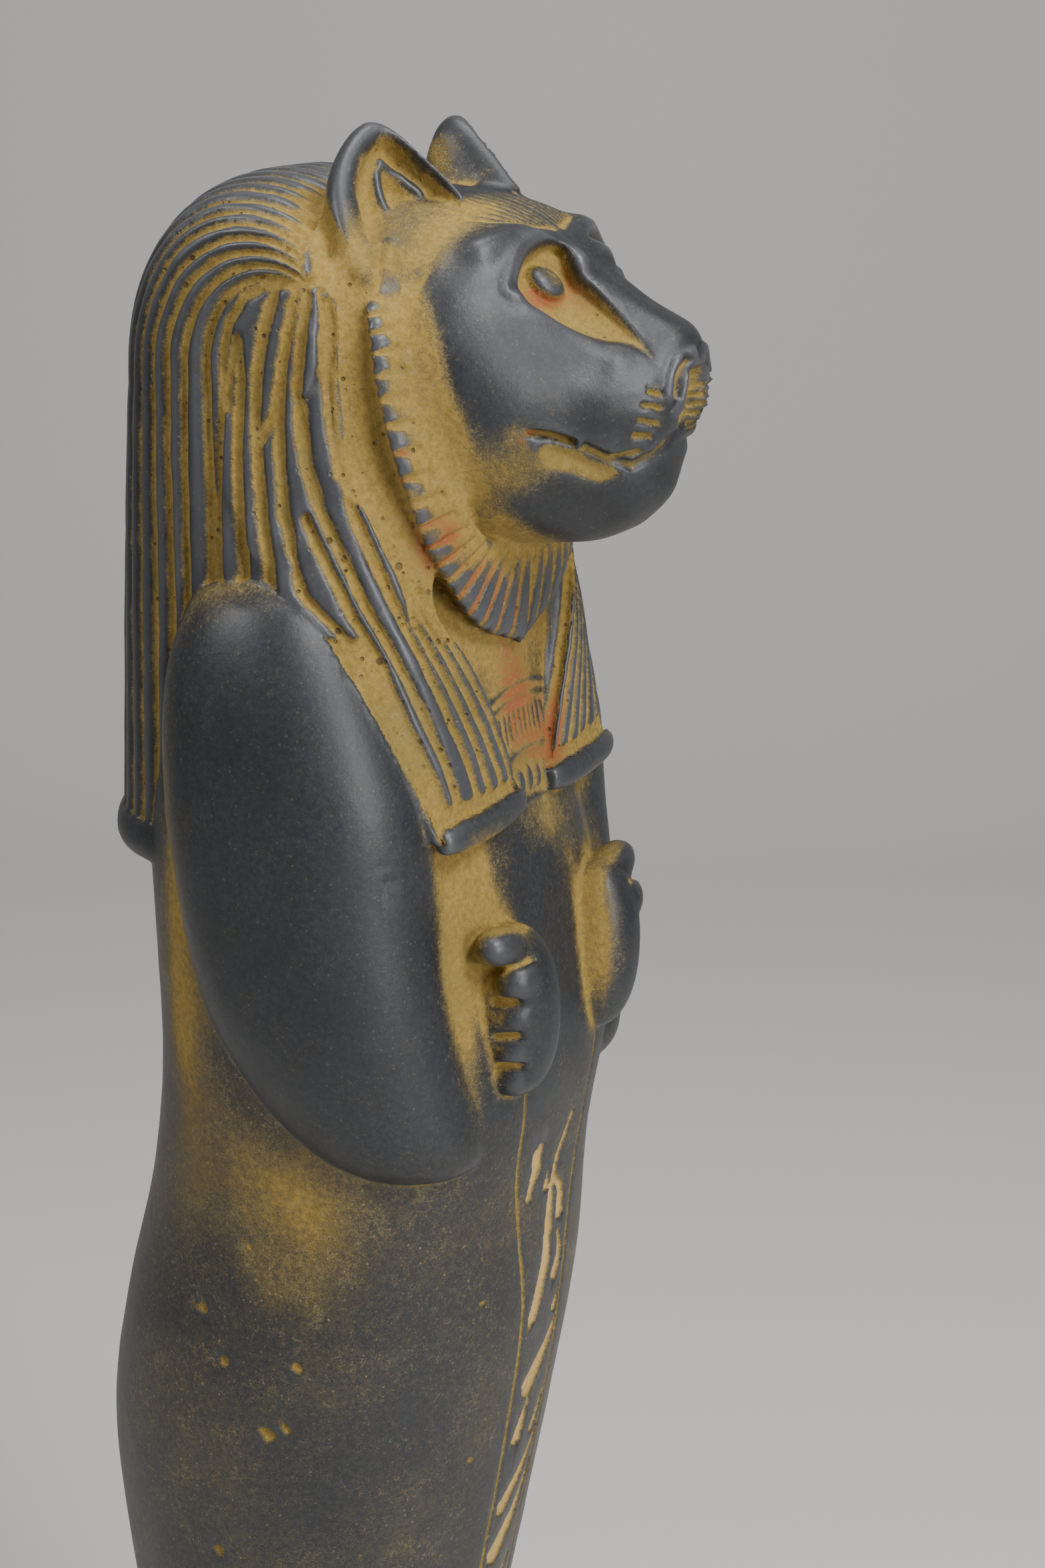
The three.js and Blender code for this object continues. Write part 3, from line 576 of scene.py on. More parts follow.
head_y = np.concatenate([-np.linspace(0, 54, 110), -np.linspace(54, 67.6, 46)[1:]])
skull = head_grid(head_y, turns(460))
snout = skull[-1].mean(0)
# the front is closed by smaller and smaller rings, bulging a little
CAP = (0.9, 0.78, 0.64, 0.5, 0.35, 0.2, 0.08)
cap = [mix(snout, skull[-1], s) - [0, 0.35 * (1 - s * s), 0] for s in CAP]
skull = np.concatenate([skull, np.stack(cap)])
skull_normal = grid_normals(skull, np.array([0, -20, 406.0]))
skull_normal[-len(CAP) - 1 :] = [0, -1, 0]
flat = right_side(skull.reshape(-1, 3))
lift = np.zeros(len(flat))
for ax, ay, az, bx, by, bz, reach, height in PUSHES:
    lift += height * np.exp(-((near(flat, [[ax, ay, az], [bx, by, bz]])[0] / reach) ** 2))
skull = skull + skull_normal * lift.reshape(skull.shape[:2])[..., None]
add_mass(skull, HEAD_MASS)
print("head", skull.shape, "pushed out by up to", round(float(lift.max()), 2), "mm")

# %% [markdown]
# An ear is a cup on a plane of its own: a rolled rim round a hollow, with slanting ridges of hair inside.
# A hollowed ball would have a rim of one width, and this one is broad on one side and thin on the other.
# So the rim is a closed curve in that plane, which hangs on three corners read off the photograph.

# %% plane and rim of the ear
EAR_CORNER, EAR_INNER, EAR_TIP = np.array([[-34, -23, 422], [-11, -30, 434], [-16, -12.8, HEIGHT]], float)
ear_middle = (EAR_CORNER + EAR_INNER) / 2
ear_across = (EAR_INNER - EAR_CORNER) / np.linalg.norm(EAR_INNER - EAR_CORNER)
ear_facing = np.cross(EAR_INNER - EAR_CORNER, EAR_TIP - EAR_CORNER)
ear_facing /= np.linalg.norm(ear_facing)
ear_up = np.cross(ear_facing, ear_across)
# number of the station, across, up
RIM = [
    [0, -11.4, -5.4],
    [1, -14, 1.6],
    [2, -13.4, 8],
    [3, -10.2, 13.2],
    [4, -6.4, 18],
    [5, -1.8, 21.6],
    [6, 3.2, 23.8],
    [7, 8.2, 24.8],
    [8, 11.8, 24.1],
    [9, 13.8, 20],
    [10, 14.3, 13],
    [11, 14.6, 5],
    [12, 12.6, -4],
]
# the rings shrink towards the heart at the back and towards the well in front, so the near rim is broad
EAR_HEART, EAR_WELL, EAR_BULGE = np.array([1.5, 4]), np.array([10.4, 10.2]), 10
# number of the ring, how large it is, share of the way from heart to well, how far in front of the plane
CUP = [
    [0, 0.3, 0, -EAR_BULGE - 2],
    [1, 0.74, 0, -EAR_BULGE],
    [2, 0.95, 0, -0.5 * EAR_BULGE],
    [3, 1, 0, -1.2],
    [4, 0.95, 0.3, 0.9],
    [5, 0.83, 0.8, 1.3],
    [6, 0.72, 1, 0.2],
    [7, 0.64, 1, -3],
    [8, 0.38, 1, -5.6],
    [9, 0.03, 1, -6],
]
# ridges inside the hollow, across and up, and how high and wide they are
EAR_RIDGES = [
    [[8.6, 17.6], [10.4, 14.2], [11, 10.3], [10.8, 6.4]],
    [[6.2, 16.5], [3.9, 12.9], [2.4, 8.7], [1.4, 5]],
    [[-3.9, 6], [-1.9, 3], [-1.2, -0.8]],
]
RIDGE_HIGH, RIDGE_WIDE = 2.9, 1.5
print("ear faces", ear_facing.round(2))

# %% [markdown]
# Each ring of the cup is that rim, drawn towards a point that moves on the way, and lifted off the plane or
# sunk behind it. The ridges rise out of the hollow, and between them the dust will lie.

# %% ears
rim = at(RIM, np.linspace(0, 12, 150))
rim = np.concatenate([rim, mix(rim[-1], rim[0], np.linspace(0, 1, 50)[1:-1, None])])
cup_step = np.linspace(0, 9, 120)
cup = at(CUP, cup_step)
heart = mix(EAR_HEART, EAR_WELL, cup[:, 1:2])[:, None]
ear_flat = heart + (rim[None] - heart) * cup[:, :1][:, None]
ear_depth = np.broadcast_to(cup[:, 2:], ear_flat.shape[:2]).copy()
in_hollow = ease(6.1, 6.9, cup_step)[:, None]
on_ridge = np.zeros(ear_depth.shape)
for ridge in EAR_RIDGES:
    from_ridge, along = near(ear_flat.reshape(-1, 2), ridge)
    height = RIDGE_HIGH * np.exp(-((from_ridge / RIDGE_WIDE) ** 2)) * ease(1.0, 0.75, along)
    ear_depth += in_hollow * height.reshape(ear_depth.shape)
    on_ridge = np.maximum(on_ridge, height.reshape(ear_depth.shape) / RIDGE_HIGH)
ear_grid = ear_middle + ear_flat[..., :1] * ear_across + ear_flat[..., 1:] * ear_up
ear_grid = ear_grid + ear_depth[..., None] * ear_facing
add_mass(ear_grid, EAR_MASS, dusty=in_hollow * (1 - ease(0.35, 0.8, on_ridge)), both=True)
print("ear hollow", round(float(in_hollow.mean()), 2), "of the cup")

# %% [markdown]
# A ruff of mane frames the jaw from ear to ear. It is a ribbon between two edges, bent round the jaw. Each
# tuft is a leaf with a sunk line on both sides, and the outer edge is scalloped where the tufts end. One
# wave along the ribbon makes them all, because they have the same width.

# %% ruff
TUFTS = 37
# share from ear to throat, outer edge x y z, inner edge x y z
RUFFLE = [
    [0, -37.8, -21.8, 421.6, -32.6, -27.8, 421.8],
    [0.12, -39.6, -23.6, 415, -33.6, -30.8, 415],
    [0.25, -40, -25, 406, -33.4, -33, 405],
    [0.4, -38.6, -28, 393.5, -31, -35.5, 392.5],
    [0.55, -34.5, -30.4, 381.5, -26, -37, 382.5],
    [0.7, -27.5, -32, 371.5, -19, -38, 377.5],
    [0.85, -17, -33.2, 361.5, -10, -38.4, 375.5],
    [1, 0, -33.8, 355, 0, -38.4, 375],
]


def ruffle_point(share, across, sink):
    """Skin of the ruff: from its outer to its inner edge, pushed in by the sink."""
    ox, oy, oz, ix, iy, iz = np.moveaxis(at(RUFFLE, 1 - np.abs(share)), -1, 0)
    x, y, z = mix(ox, ix, across), mix(oy, iy, across), mix(oz, iz, across)
    away_x, away_y = x * 0.7, y + 6
    length = np.hypot(away_x, away_y)
    flip = np.where(share < 0, 1, -1)
    return np.stack([flip * (x - away_x / length * sink), y - away_y / length * sink, z], -1)


# share across the ruff and how far its skin is sunk there; past its inner edge it dives into the jaw
RUFF_PROFILE = [[0, 0], [0.12, -0.6], [0.35, -0.4], [0.7, 0.5], [1, 1.6], [1.15, 2.4], [1.2, 9], [1.3, 9]]
SLANT_OF_LEAF, LEAF_WIDE = 1.1, 2.6
ruff_share = np.linspace(-1, 1, 961)[:, None]
ruff_across = np.concatenate([np.linspace(0, 1.15, 60), [1.3, 0.1]])[None]
leaf = ruff_share * TUFTS - SLANT_OF_LEAF * (ruff_across - 0.4) * np.sign(ruff_share)
in_leaf = 1 - np.abs(leaf % 2 - 1)
scallop = 0.09 * in_leaf**0.7 * ease(0.5, 0, ruff_across)
profile = np.interp(ruff_across, *np.array(RUFF_PROFILE).T)
profile[:, -1] = RUFF_PROFILE[-1][1]
ruff_grid = ruffle_point(
    np.broadcast_to(ruff_share, leaf.shape), np.broadcast_to(ruff_across, leaf.shape) + scallop, profile
)
# beside the cheek only the outer half is cut into tufts, under the jaw the leaves run right through
cut_to = mix(0.6, 1.02, ease(0.35, 0.6, 1 - np.abs(ruff_share)))
ruff_gap = np.where(ruff_across < cut_to, in_leaf * LEAF_WIDE, NO_GROOVE)
add_mass(ruff_grid, RUFF_MASS, ruff_gap, 0.85)
print("ruff", ruff_grid.shape)

# %% [markdown]
# The fists lie on the chest with their thumbs on top. Back of the hand, thumb and four finger ends are
# rounded lumps that fuse into each other. The real ones are as plain as that, without nails or joints, so
# jointed fingers would only look wrong here.

# %% hands
# middle, half sizes, tilt
HAND_LUMPS = [
    [[-19.6, -41.4, 291.6], [8.6, 8.2, 17], -0.06],
    [[-25.4, -41.6, 305.6], [7.6, 4.2, 3.9], 0.3],
    [[-23.8, -44.4, 299.4], [5.8, 4.2, 4.7], 0.35],
    [[-23.4, -43.8, 292.8], [5, 4.4, 4], 0.1],
    [[-23.2, -43.2, 286], [4.8, 4.4, 4], 0],
    [[-22.2, -42.4, 279.8], [4.6, 4.2, 3.8], 0],
]


def lump(middle, radii, tilt, square=2.2, around=72, levels=50):
    """Rounded box by levels from bottom to top, tilted about the depth axis."""
    lat = np.linspace(-0.49, 0.49, levels)[:, None] * np.pi
    spread, level = power(np.cos(lat), square), power(np.sin(lat), square)
    turn = turns(around)[None]
    x = radii[0] * spread * power(np.cos(turn), square)
    y = radii[1] * spread * power(np.sin(turn), square)
    z = np.broadcast_to(radii[2] * level, x.shape)
    c, s = np.cos(tilt), np.sin(tilt)
    return np.stack([c * x + s * z, y, -s * x + c * z], -1) + middle


for middle, radii, tilt in HAND_LUMPS:
    add_mass(lump(np.array(middle), radii, tilt), HAND_MASS, both=True)
print(len(masses), "masses")

# %% [markdown]
# Blender keeps a mesh as long lists of numbers. Whole arrays go in and out of them in one call, which is
# far quicker than adding points one by one. Values with a name can travel on the points of a mesh.

# %% mesh helpers
def make_mesh(name, points, corners):
    """Mesh in metres from points in millimetres and faces that all have the same number of corners."""
    mesh = bpy.data.meshes.new(name)
    faces, size = corners.shape
    mesh.vertices.add(len(points))
    mesh.vertices.foreach_set("co", (np.asarray(points) * MM).astype(np.float32).ravel())
    mesh.loops.add(faces * size)
    mesh.loops.foreach_set("vertex_index", corners.astype(np.int32).ravel())
    mesh.polygons.add(faces)
    mesh.polygons.foreach_set("loop_start", np.arange(0, faces * size, size, dtype=np.int32))
    mesh.update(calc_edges=True)
    return mesh


def put_facts(mesh, facts):
    """Stores named values on the points of a mesh."""
    for name, values in facts.items():
        layer = mesh.attributes.new(name, "FLOAT", "POINT")
        layer.data.foreach_set("value", np.asarray(values, np.float32))


def get_fact(mesh, name):
    """Reads one named value of every point."""
    values = np.empty(len(mesh.vertices), np.float32)
    mesh.attributes[name].data.foreach_get("value", values)
    return values.astype(float)


def points_of(mesh):
    """Points of a mesh in millimetres."""
    values = np.empty(len(mesh.vertices) * 3, np.float32)
    mesh.vertices.foreach_get("co", values)
    return values.reshape(-1, 3).astype(float) / MM


def new_object(name, mesh):
    """Object with that mesh, linked to the scene."""
    made = bpy.data.objects.new(name, mesh)
    bpy.context.scene.collection.objects.link(made)
    return made


def baked(made, name):
    """Mesh of an object with its modifiers applied."""
    graph = bpy.context.evaluated_depsgraph_get()
    mesh = bpy.data.meshes.new_from_object(made.evaluated_get(graph), depsgraph=graph)
    mesh.name = name
    return mesh


print("one unit of a mesh is", round(1 / MM), "mm")

# %% [markdown]
# All masses are joined and turned into one skin by voxels: the block is read on a fine grid, half a
# millimetre apart, and only its outside is kept. Boolean unions of so many curved skins tend to fail where
# faces graze each other, and a grid doesn't. It gives one closed surface without seams, as on a figure
# that was carved from one stone.

# %% one closed skin
VOXEL = 0.5
FACTS = ("gap", "half", "dusty", "mass")
offsets = np.cumsum([0] + [len(points) for points, _, _ in masses])[:-1]
block_points = np.concatenate([points for points, _, _ in masses])
block_faces = np.concatenate([faces + offset for (_, faces, _), offset in zip(masses, offsets)])
block_facts = np.concatenate([facts for _, _, facts in masses])
block_mesh = make_mesh("block", block_points, block_faces)
put_facts(block_mesh, dict(zip(FACTS, block_facts.T)))
block = new_object("block", block_mesh)
remesh = block.modifiers.new("one skin", "REMESH")
remesh.mode = "VOXEL"
remesh.voxel_size = VOXEL * MM
skin_mesh = baked(block, "skin")
block.modifiers.clear()
print("block", len(block_points), "points; skin", len(skin_mesh.vertices), "points")

# %% [markdown]
# The voxel skin forgets what its masses knew, so each of its points looks up the nearest place on the
# joined masses and copies the surface facts from there. Geometry nodes do that for all points in one
# pass, where a search in a loop would take minutes.

# %% carry the surface facts over
def carry_facts(source, target, names):
    """Copies named point values from the nearest place on the source to every point of the target."""
    tree = bpy.data.node_groups.new("carry", "GeometryNodeTree")
    tree.interface.new_socket("Geometry", in_out="INPUT", socket_type="NodeSocketGeometry")
    tree.interface.new_socket("Geometry", in_out="OUTPUT", socket_type="NodeSocketGeometry")
    nodes, links = tree.nodes, tree.links
    geometry = nodes.new("NodeGroupInput").outputs[0]
    info = nodes.new("GeometryNodeObjectInfo")
    info.inputs["Object"].default_value = source
    position = nodes.new("GeometryNodeInputPosition").outputs[0]
    for name in names:
        read = nodes.new("GeometryNodeInputNamedAttribute")
        read.inputs["Name"].default_value = name
        look = nodes.new("GeometryNodeSampleNearestSurface")
        links.new(info.outputs["Geometry"], look.inputs["Mesh"])
        links.new(read.outputs["Attribute"], look.inputs["Value"])
        links.new(position, look.inputs["Sample Position"])
        store = nodes.new("GeometryNodeStoreNamedAttribute")
        store.inputs["Name"].default_value = name
        links.new(geometry, store.inputs["Geometry"])
        links.new(look.outputs["Value"], store.inputs["Value"])
        geometry = store.outputs["Geometry"]
    links.new(geometry, nodes.new("NodeGroupOutput").inputs[0])
    step = target.modifiers.new("carry", "NODES")
    step.node_group = tree
    mesh = baked(target, target.name + " with facts")
    target.modifiers.clear()
    bpy.data.node_groups.remove(tree)
    return mesh


skin_object = new_object("skin", skin_mesh)
facts_mesh = carry_facts(block, skin_object, FACTS)
points = points_of(facts_mesh)
gap, half, dusty, mass = (get_fact(facts_mesh, name) for name in FACTS)
faces = np.empty(len(facts_mesh.loops), np.int32)
facts_mesh.loops.foreach_get("vertex_index", faces)
faces = faces.reshape(-1, 4)
edges = np.empty(len(facts_mesh.edges) * 2, np.int32)
facts_mesh.edges.foreach_get("vertices", edges)
edges = edges.reshape(-1, 2)
for spent in (block, skin_object):
    bpy.data.objects.remove(spent)
print(len(faces), "faces, groove gap from", round(gap.min(), 2), "to", round(gap.max(), 2), "mm")

# %% [markdown]
# Two helpers do the handwork. One relaxes values over the skin, which softens voxel steps and also
# tells hollow from proud places. The other gives the outward direction at every point. Both work on whole
# arrays of points and edges, because a smoothing brush or modifier can't be asked for what it changed.

# %% relax and aim
valence = np.bincount(edges.ravel(), minlength=len(points)).astype(float)


def relax(values, passes, share=0.5):
    """Moves each point's value towards the mean of its neighbours, several times."""
    values = np.array(values, float)
    flat = values.reshape(len(values), -1)
    for _ in range(passes):
        for k in range(flat.shape[1]):
            column = flat[:, k]
            total = np.bincount(edges[:, 0], column[edges[:, 1]], len(column))
            total += np.bincount(edges[:, 1], column[edges[:, 0]], len(column))
            flat[:, k] = mix(column, total / valence, share)
    return flat.reshape(values.shape)


def aim(points):
    """Outward unit direction at every point, from the quads around it."""
    diagonal = points[faces[:, 2]] - points[faces[:, 0]]
    other = points[faces[:, 3]] - points[faces[:, 1]]
    face_normal = np.cross(diagonal, other)
    normal = np.stack(
        [np.bincount(faces.ravel(), np.repeat(face_normal[:, k], 4), len(points)) for k in range(3)], -1
    )
    return normal / (np.linalg.norm(normal, axis=1, keepdims=True) + 1e-12)


points = relax(points, 3)
edge_long = np.linalg.norm(points[edges[:, 0]] - points[edges[:, 1]], axis=1)
print("edges of the skin are", round(float(edge_long.mean()), 2), "mm long on average")

# %% [markdown]
# Where two masses meet, the real figure has no sharp corner but a soft hollow, most of all round the ear
# and at the face's edge. A bevel needs clean edges, and a voxel skin has none. So the points near a few
# drawn lines are relaxed many times, and the corner flows out into a fillet.

# %% fillets between the masses
# lines along which two masses flow into each other, with the width of the fillet
FILLETS = [
    (
        [
            [-20, -4, 437.5], [-29, -10.5, 434.1], [-37.5, -15.7, 427.2],
            [-38.5, -17.6, 421.8], [-40, -17.3, 413],
        ],
        3.4,
    ),
    (
        [
            [-41, -17, 419], [-41.2, -14, 423], [-41.6, -7.6, 422.4],
            [-41.6, -3, 422], [-41.8, 2.8, 418], [-42, 4, 411],
        ],
        4.4,
    ),
    ([[-43.2, -13, 373.6], [-43.2, -7, 374.4], [-43.2, -1, 375.8]], 3),
    ([[-37.4, -21.9, 423], [-33.8, -25.9, 422.6], [-30, -28, 424]], 2.6),
    ([[-22, -28.6, 431.5], [-10.5, -29.4, 435.6], [-8, -22, 438]], 2.4),
    ([[-32.5, -28.1, 421.7], [-34.1, -30.7, 410.9], [-33.4, -32.7, 399.7], [-28.3, -35.7, 387.6]], 3.2),
]
FILLET_PASSES, FILLET_STEP = 60, 0.7
soft = np.zeros(len(points))
for path, wide in FILLETS:
    soft = np.maximum(soft, 1 - ease(0.5, 1, near(right_side(points), path)[0] / wide))
fillet_edges = edges[(soft[edges] > 0).any(1)]
fillet_points, fillet_ends = np.unique(fillet_edges, return_inverse=True)
fillet_ends = fillet_ends.reshape(-1, 2)
fillet_valence = np.bincount(fillet_ends.ravel(), minlength=len(fillet_points))[:, None]
fillet_skin, fillet_share = points[fillet_points], soft[fillet_points, None]
for _ in range(FILLET_PASSES):
    total = np.zeros_like(fillet_skin)
    for k in range(3):
        total[:, k] = np.bincount(fillet_ends[:, 0], fillet_skin[fillet_ends[:, 1], k], len(fillet_skin))
        total[:, k] += np.bincount(fillet_ends[:, 1], fillet_skin[fillet_ends[:, 0], k], len(fillet_skin))
    fillet_skin += fillet_share * FILLET_STEP * (total / fillet_valence - fillet_skin)
points[fillet_points] = fillet_skin
normal = aim(points)
if (normal * (points - [0, 0, 200]))[points[:, 2] < 300].sum() < 0:
    raise SystemExit("the skin faces inwards")
smooth_normal = relax(normal, 6)
smooth_normal /= np.linalg.norm(smooth_normal, axis=1, keepdims=True)
print("skin softened")

# %% [markdown]
# First the long grooves between the locks, with steep walls and a narrow flat bottom, as a point chisel
# leaves them. Displacement in the material could cut them as well, but an exported mesh doesn't keep it.
# So each point will move inwards, by a profile of its own distance to the groove. The depth differs from
# mass to mass, and a slow swell keeps the cuts from looking machined.

# %% depth of the grooves
mass = np.round(mass)
GROOVE_DEPTH = {WIG_MASS: 1.3, LAPPET_MASS: 1.2, RUFF_MASS: 0.8}


def wobble(points, size, seed):
    """Slow irregular swell between about -1 and 1: a few plane waves in seeded directions."""
    dice = np.random.default_rng(seed)
    total = np.zeros(len(points))
    for _ in range(7):
        way = dice.normal(size=3)
        length, start = size * dice.uniform(0.6, 1.5), dice.uniform(0, 6.28)
        total += np.sin(points @ (way / np.linalg.norm(way)) * 2 * np.pi / length + start)
    return total / 2.6


lock_depth = np.zeros(len(points))
for which, deep in GROOVE_DEPTH.items():
    lock_depth[mass == which] = deep
lock_depth[mass == RUFF_MASS] *= mix(1, 0.6, ease(372, 396, points[mass == RUFF_MASS, 2]))
in_strip = (mass == LAPPET_MASS) * dusty
print("points that can be grooved", int((lock_depth > 0).sum()))

# %% [markdown]
# Beside the ear wig, panel and lappet meet, and the grooves of one wouldn't meet those of the next. The
# real locks run on across all three. So the grooves there come from one drawing on the plane of the side,
# which fades in where the side is flat.

# %% grooves beside the ear
beside = right_side(points)
from_drawing = groove_gap(beside[:, 1], beside[:, 2], SIDE_GROOVES)
from_arc = groove_gap(beside[:, 1], beside[:, 2], [INNER_ARC])
plate_end = mix(364, 386, ease(-9, -13, beside[:, 1]))
on_plate = ease(0, 5, beside[:, 2] - plate_end) * ease(-36.5, -39, beside[:, 0])
on_plate *= (beside[:, 1] > -24) * (beside[:, 1] < 9)
in_arc = np.hypot(beside[:, 1] - INNER["y"], np.maximum(beside[:, 2] - INNER["z"], 0)) < 13.2
of_plate = (mass == LAPPET_MASS) & (dusty < 0.5) | (mass == WIG_MASS) & in_arc
gap = np.where(of_plate, mix(gap, from_drawing, on_plate), gap)
gap = np.where((mass == WIG_MASS) & ~in_arc, np.minimum(gap, mix(NO_GROOVE, from_arc, on_plate)), gap)
half = np.where(mass == LAPPET_MASS, mix(half, 1.55, on_plate), half)
print("points under the drawing", int((on_plate > 0.5).sum()))

# %% [markdown]
# Now the cut itself. Two S-curves added together give the steep wall with a soft shoulder above it, which
# a single curve or a plain V doesn't show.

# %% carve the locks
reach = gap / half * (1 + 0.1 * wobble(points, 9, 3))
groove = 0.72 * (1 - ease(0.3, 1.05, reach)) + 0.28 * (1 - ease(0.5, 1.8, reach))
groove *= lock_depth > 0
cut = lock_depth * groove * (1 - in_strip) * (1 + 0.12 * wobble(points, 14, 4))
points = points - smooth_normal * cut[:, None]
print("grooves cut up to", round(float(cut.max()), 2), "mm deep")

# %% [markdown]
# The face is worked with touches along drawn lines, cuts as well as ridges. The lines are drawn as they
# are seen from the photograph's side, so a distance along the line of sight counts less than one across
# it. A cut made with a separate cutting mesh would need a boolean for each line, and a touch needs none.

# %% touches along drawn lines
SIGHT = np.array([0.87158, 0.39720, -0.28736])
SEEN = np.eye(3) - 0.7 * np.outer(SIGHT, SIGHT)


def drawn(points, path):
    """Distance to a drawn line, with the line of sight foreshortened, and the share of its length."""
    return near(points @ SEEN.T, np.asarray(path, float) @ SEEN.T)


def touch(points, path, half, height, start=0.0, end=0.0, crisp=0.25):
    """Height of a cut or ridge along a line: full near its middle, none past its half width."""
    distance, share = drawn(points, path)
    height = np.full(len(points), float(height)) * (1 - ease(crisp, 1, distance / half))
    if start:
        height *= ease(0, start, share)
    if end:
        height *= ease(1, 1 - end, share)
    return height


print("line of sight", SIGHT)

# %% [markdown]
# The eye is a flat ball in a long, slanting socket with a crisp upper edge. A ball pressed into the face
# would leave a round hollow. So the socket is a closed outline on a plane of its own, deep at the outer
# corner and shallow towards the nose. Both sides of the face get the same outline.

# %% outline of the eye socket
head_points = np.flatnonzero((mass == HEAD_MASS) & (points[:, 1] < -18))
face = right_side(points[head_points])
face_normal = right_side(smooth_normal[head_points])
face_normal[:, 0] = smooth_normal[head_points, 0] * np.where(points[head_points, 0] > 0, -1, 1)

SOCKET_AT = np.array([-22, -42.5, 423.5])
SOCKET_ALONG = np.array([0.433, -0.763, -0.48])
SOCKET_UP = np.array([0.636, -0.119, 0.762])
SOCKET_OUT = np.array([-0.639, -0.635, 0.434])
# edge of the socket in its plane, from the outer corner over the brow, and from the same corner below
UPPER_EDGE = [
    [0, 0], [-0.4, 6.3], [0.5, 10.2], [3.1, 14.1], [5.9, 15.2], [8.4, 12.9],
    [10.7, 11], [13.9, 10.1], [19, 7.5], [24.3, 3.9], [29.4, 0],
]
LOWER_EDGE = [
    [0, 0], [3.3, -1.8], [7.1, -2], [10.9, -1.9],
    [17.2, -1.2], [23.9, 0.5], [28, -0.8], [29.4, 0],
]
# middle of the eyeball in that plane, and its half sizes
EYE_AT, EYE_HALF = np.array([5.8, 7.1]), np.array([3.5, 2.7])


def rounded(path, steps=6):
    """The same line with its corners rounded by a smooth curve through its points."""
    numbered = [[k, *point] for k, point in enumerate(path)]
    return at(numbered, np.linspace(0, len(path) - 1, steps * (len(path) - 1) + 1))


def inside(flat, outline):
    """True where a ray from the point crosses the closed outline an odd number of times."""
    odd = np.zeros(len(flat), bool)
    for (ax, ay), (bx, by) in zip(outline, np.roll(outline, -1, axis=0)):
        if ay == by:
            continue
        crosses = (ay > flat[:, 1]) != (by > flat[:, 1])
        odd ^= crosses & (flat[:, 0] < (bx - ax) * (flat[:, 1] - ay) / (by - ay) + ax)
    return odd


print("face has", len(head_points), "points to work on")

# %% [markdown]
# Points within the outline sink, except that the eyeball stands up in the middle with a small moat round
# it. The brow gets a thin rim above the edge, which catches the light as on the real one.

# %% eye sockets and brow
offset = face - SOCKET_AT
eye_flat = np.stack([offset @ SOCKET_ALONG, offset @ SOCKET_UP], -1)
close = (np.abs(offset @ SOCKET_OUT) < 9) & (eye_flat[:, 0] > -8) & (eye_flat[:, 0] < 34)
upper, lower = rounded(UPPER_EDGE), rounded(LOWER_EDGE)
within = inside(eye_flat, np.concatenate([upper, lower[::-1]])) & close
from_upper, along_upper = near(eye_flat, upper)
from_lower, _ = near(eye_flat, lower)
socket_deep = mix(4.3, 0.9, ease(9, 29, eye_flat[:, 0]))
socket = within * ease(0, 1.3, from_upper) * ease(0, 3.4, from_lower)
eye_round = (((eye_flat - EYE_AT) / EYE_HALF) ** 2).sum(1)
eyeball = within * np.sqrt(np.maximum(0, 1 - eye_round * 0.8)) * (eye_round < 1.25)
moat = within * np.exp(-(((np.sqrt(eye_round) - 1.35) / 0.3) ** 2))
brow_rim = close * (~within) * np.exp(-(((from_upper - 1.5) / 1.2) ** 2)) * ease(0.62, 0.5, along_upper)
inwards = socket * socket_deep - eyeball * 2.3 + moat * 0.5 - brow_rim * 0.55
face = face - inwards[:, None] * SOCKET_OUT
print("socket covers", int(within.sum()), "points")

# %% [markdown]
# The muzzle has a mouth slit that runs on as a lip line, a furrow under the nose, a line round each nostril
# and whiskers in rows. A straight cut from the side would pass through the rounded form at odd depths. A
# touch follows the form and sinks to the same depth all along, as a chisel does.

# %% lines of the muzzle
MOUTH_SLIT = [[-25.9, -46, 399.5], [-22.6, -50.1, 398.7], [-19.5, -53.7, 397]]
LIP_LINE = [
    [-19.5, -53.7, 397], [-15.6, -57.7, 394.2], [-12.2, -60.7, 392.7],
    [-9, -63.7, 394.5], [-5.8, -66.1, 397.3], [0, -66.3, 398],
]
UNDER_LIP = [[-24.5, -47, 396.6], [-20.5, -51.6, 394.8], [-16, -56.2, 392.2], [-12, -60, 391.2]]
PHILTRUM = [[0, -68.2, 409.6], [0, -67.4, 404.4], [0, -66.4, 399.6], [0, -65, 396]]
# path, half width, depth of each line round the nostril
NOSE_LINES = [
    ([[-0.3, -67.6, 412.1], [-6.4, -66.5, 410.3], [-8.4, -66.1, 407.8], [-9.9, -65.9, 403.5]], 1.5, -0.8),
    ([[-3.5, -67.6, 411.5], [-7, -66.8, 408], [-7.9, -66.6, 403.7]], 1.3, 1.3),
    ([[0.4, -67.6, 410.8], [-4.9, -67.5, 406.6], [-6.3, -66.9, 402.7], [-8.3, -65.7, 400.5]], 1.1, -0.6),
]
WHISKERS = [
    [[-13.7, -63.4, 406.2], [-10.4, -65.6, 405.1]],
    [[-15, -62.5, 404], [-9.7, -65.8, 402.5]],
    [[-15.2, -61.8, 401.2], [-9.6, -65.2, 399.8]],
    [[-15, -60.9, 398.5], [-10.1, -63.9, 397.6]],
    [[-15.4, -57.4, 394.2], [-11, -62.5, 395.4]],
]
FAR_WHISKERS = [[[2, z - 1], [6, z], [12.5, z + 1.4]] for z in (405.4, 403.6, 401.8, 400, 398.3, 396.8)]
FACE_EDGE = [
    [-25.7, -30.4, 428.7], [-30.7, -28.6, 423.6], [-33.8, -28.6, 419.3],
    [-35, -28.6, 413.9], [-36.1, -29.1, 407.6], [-34.5, -31.8, 400.1],
]
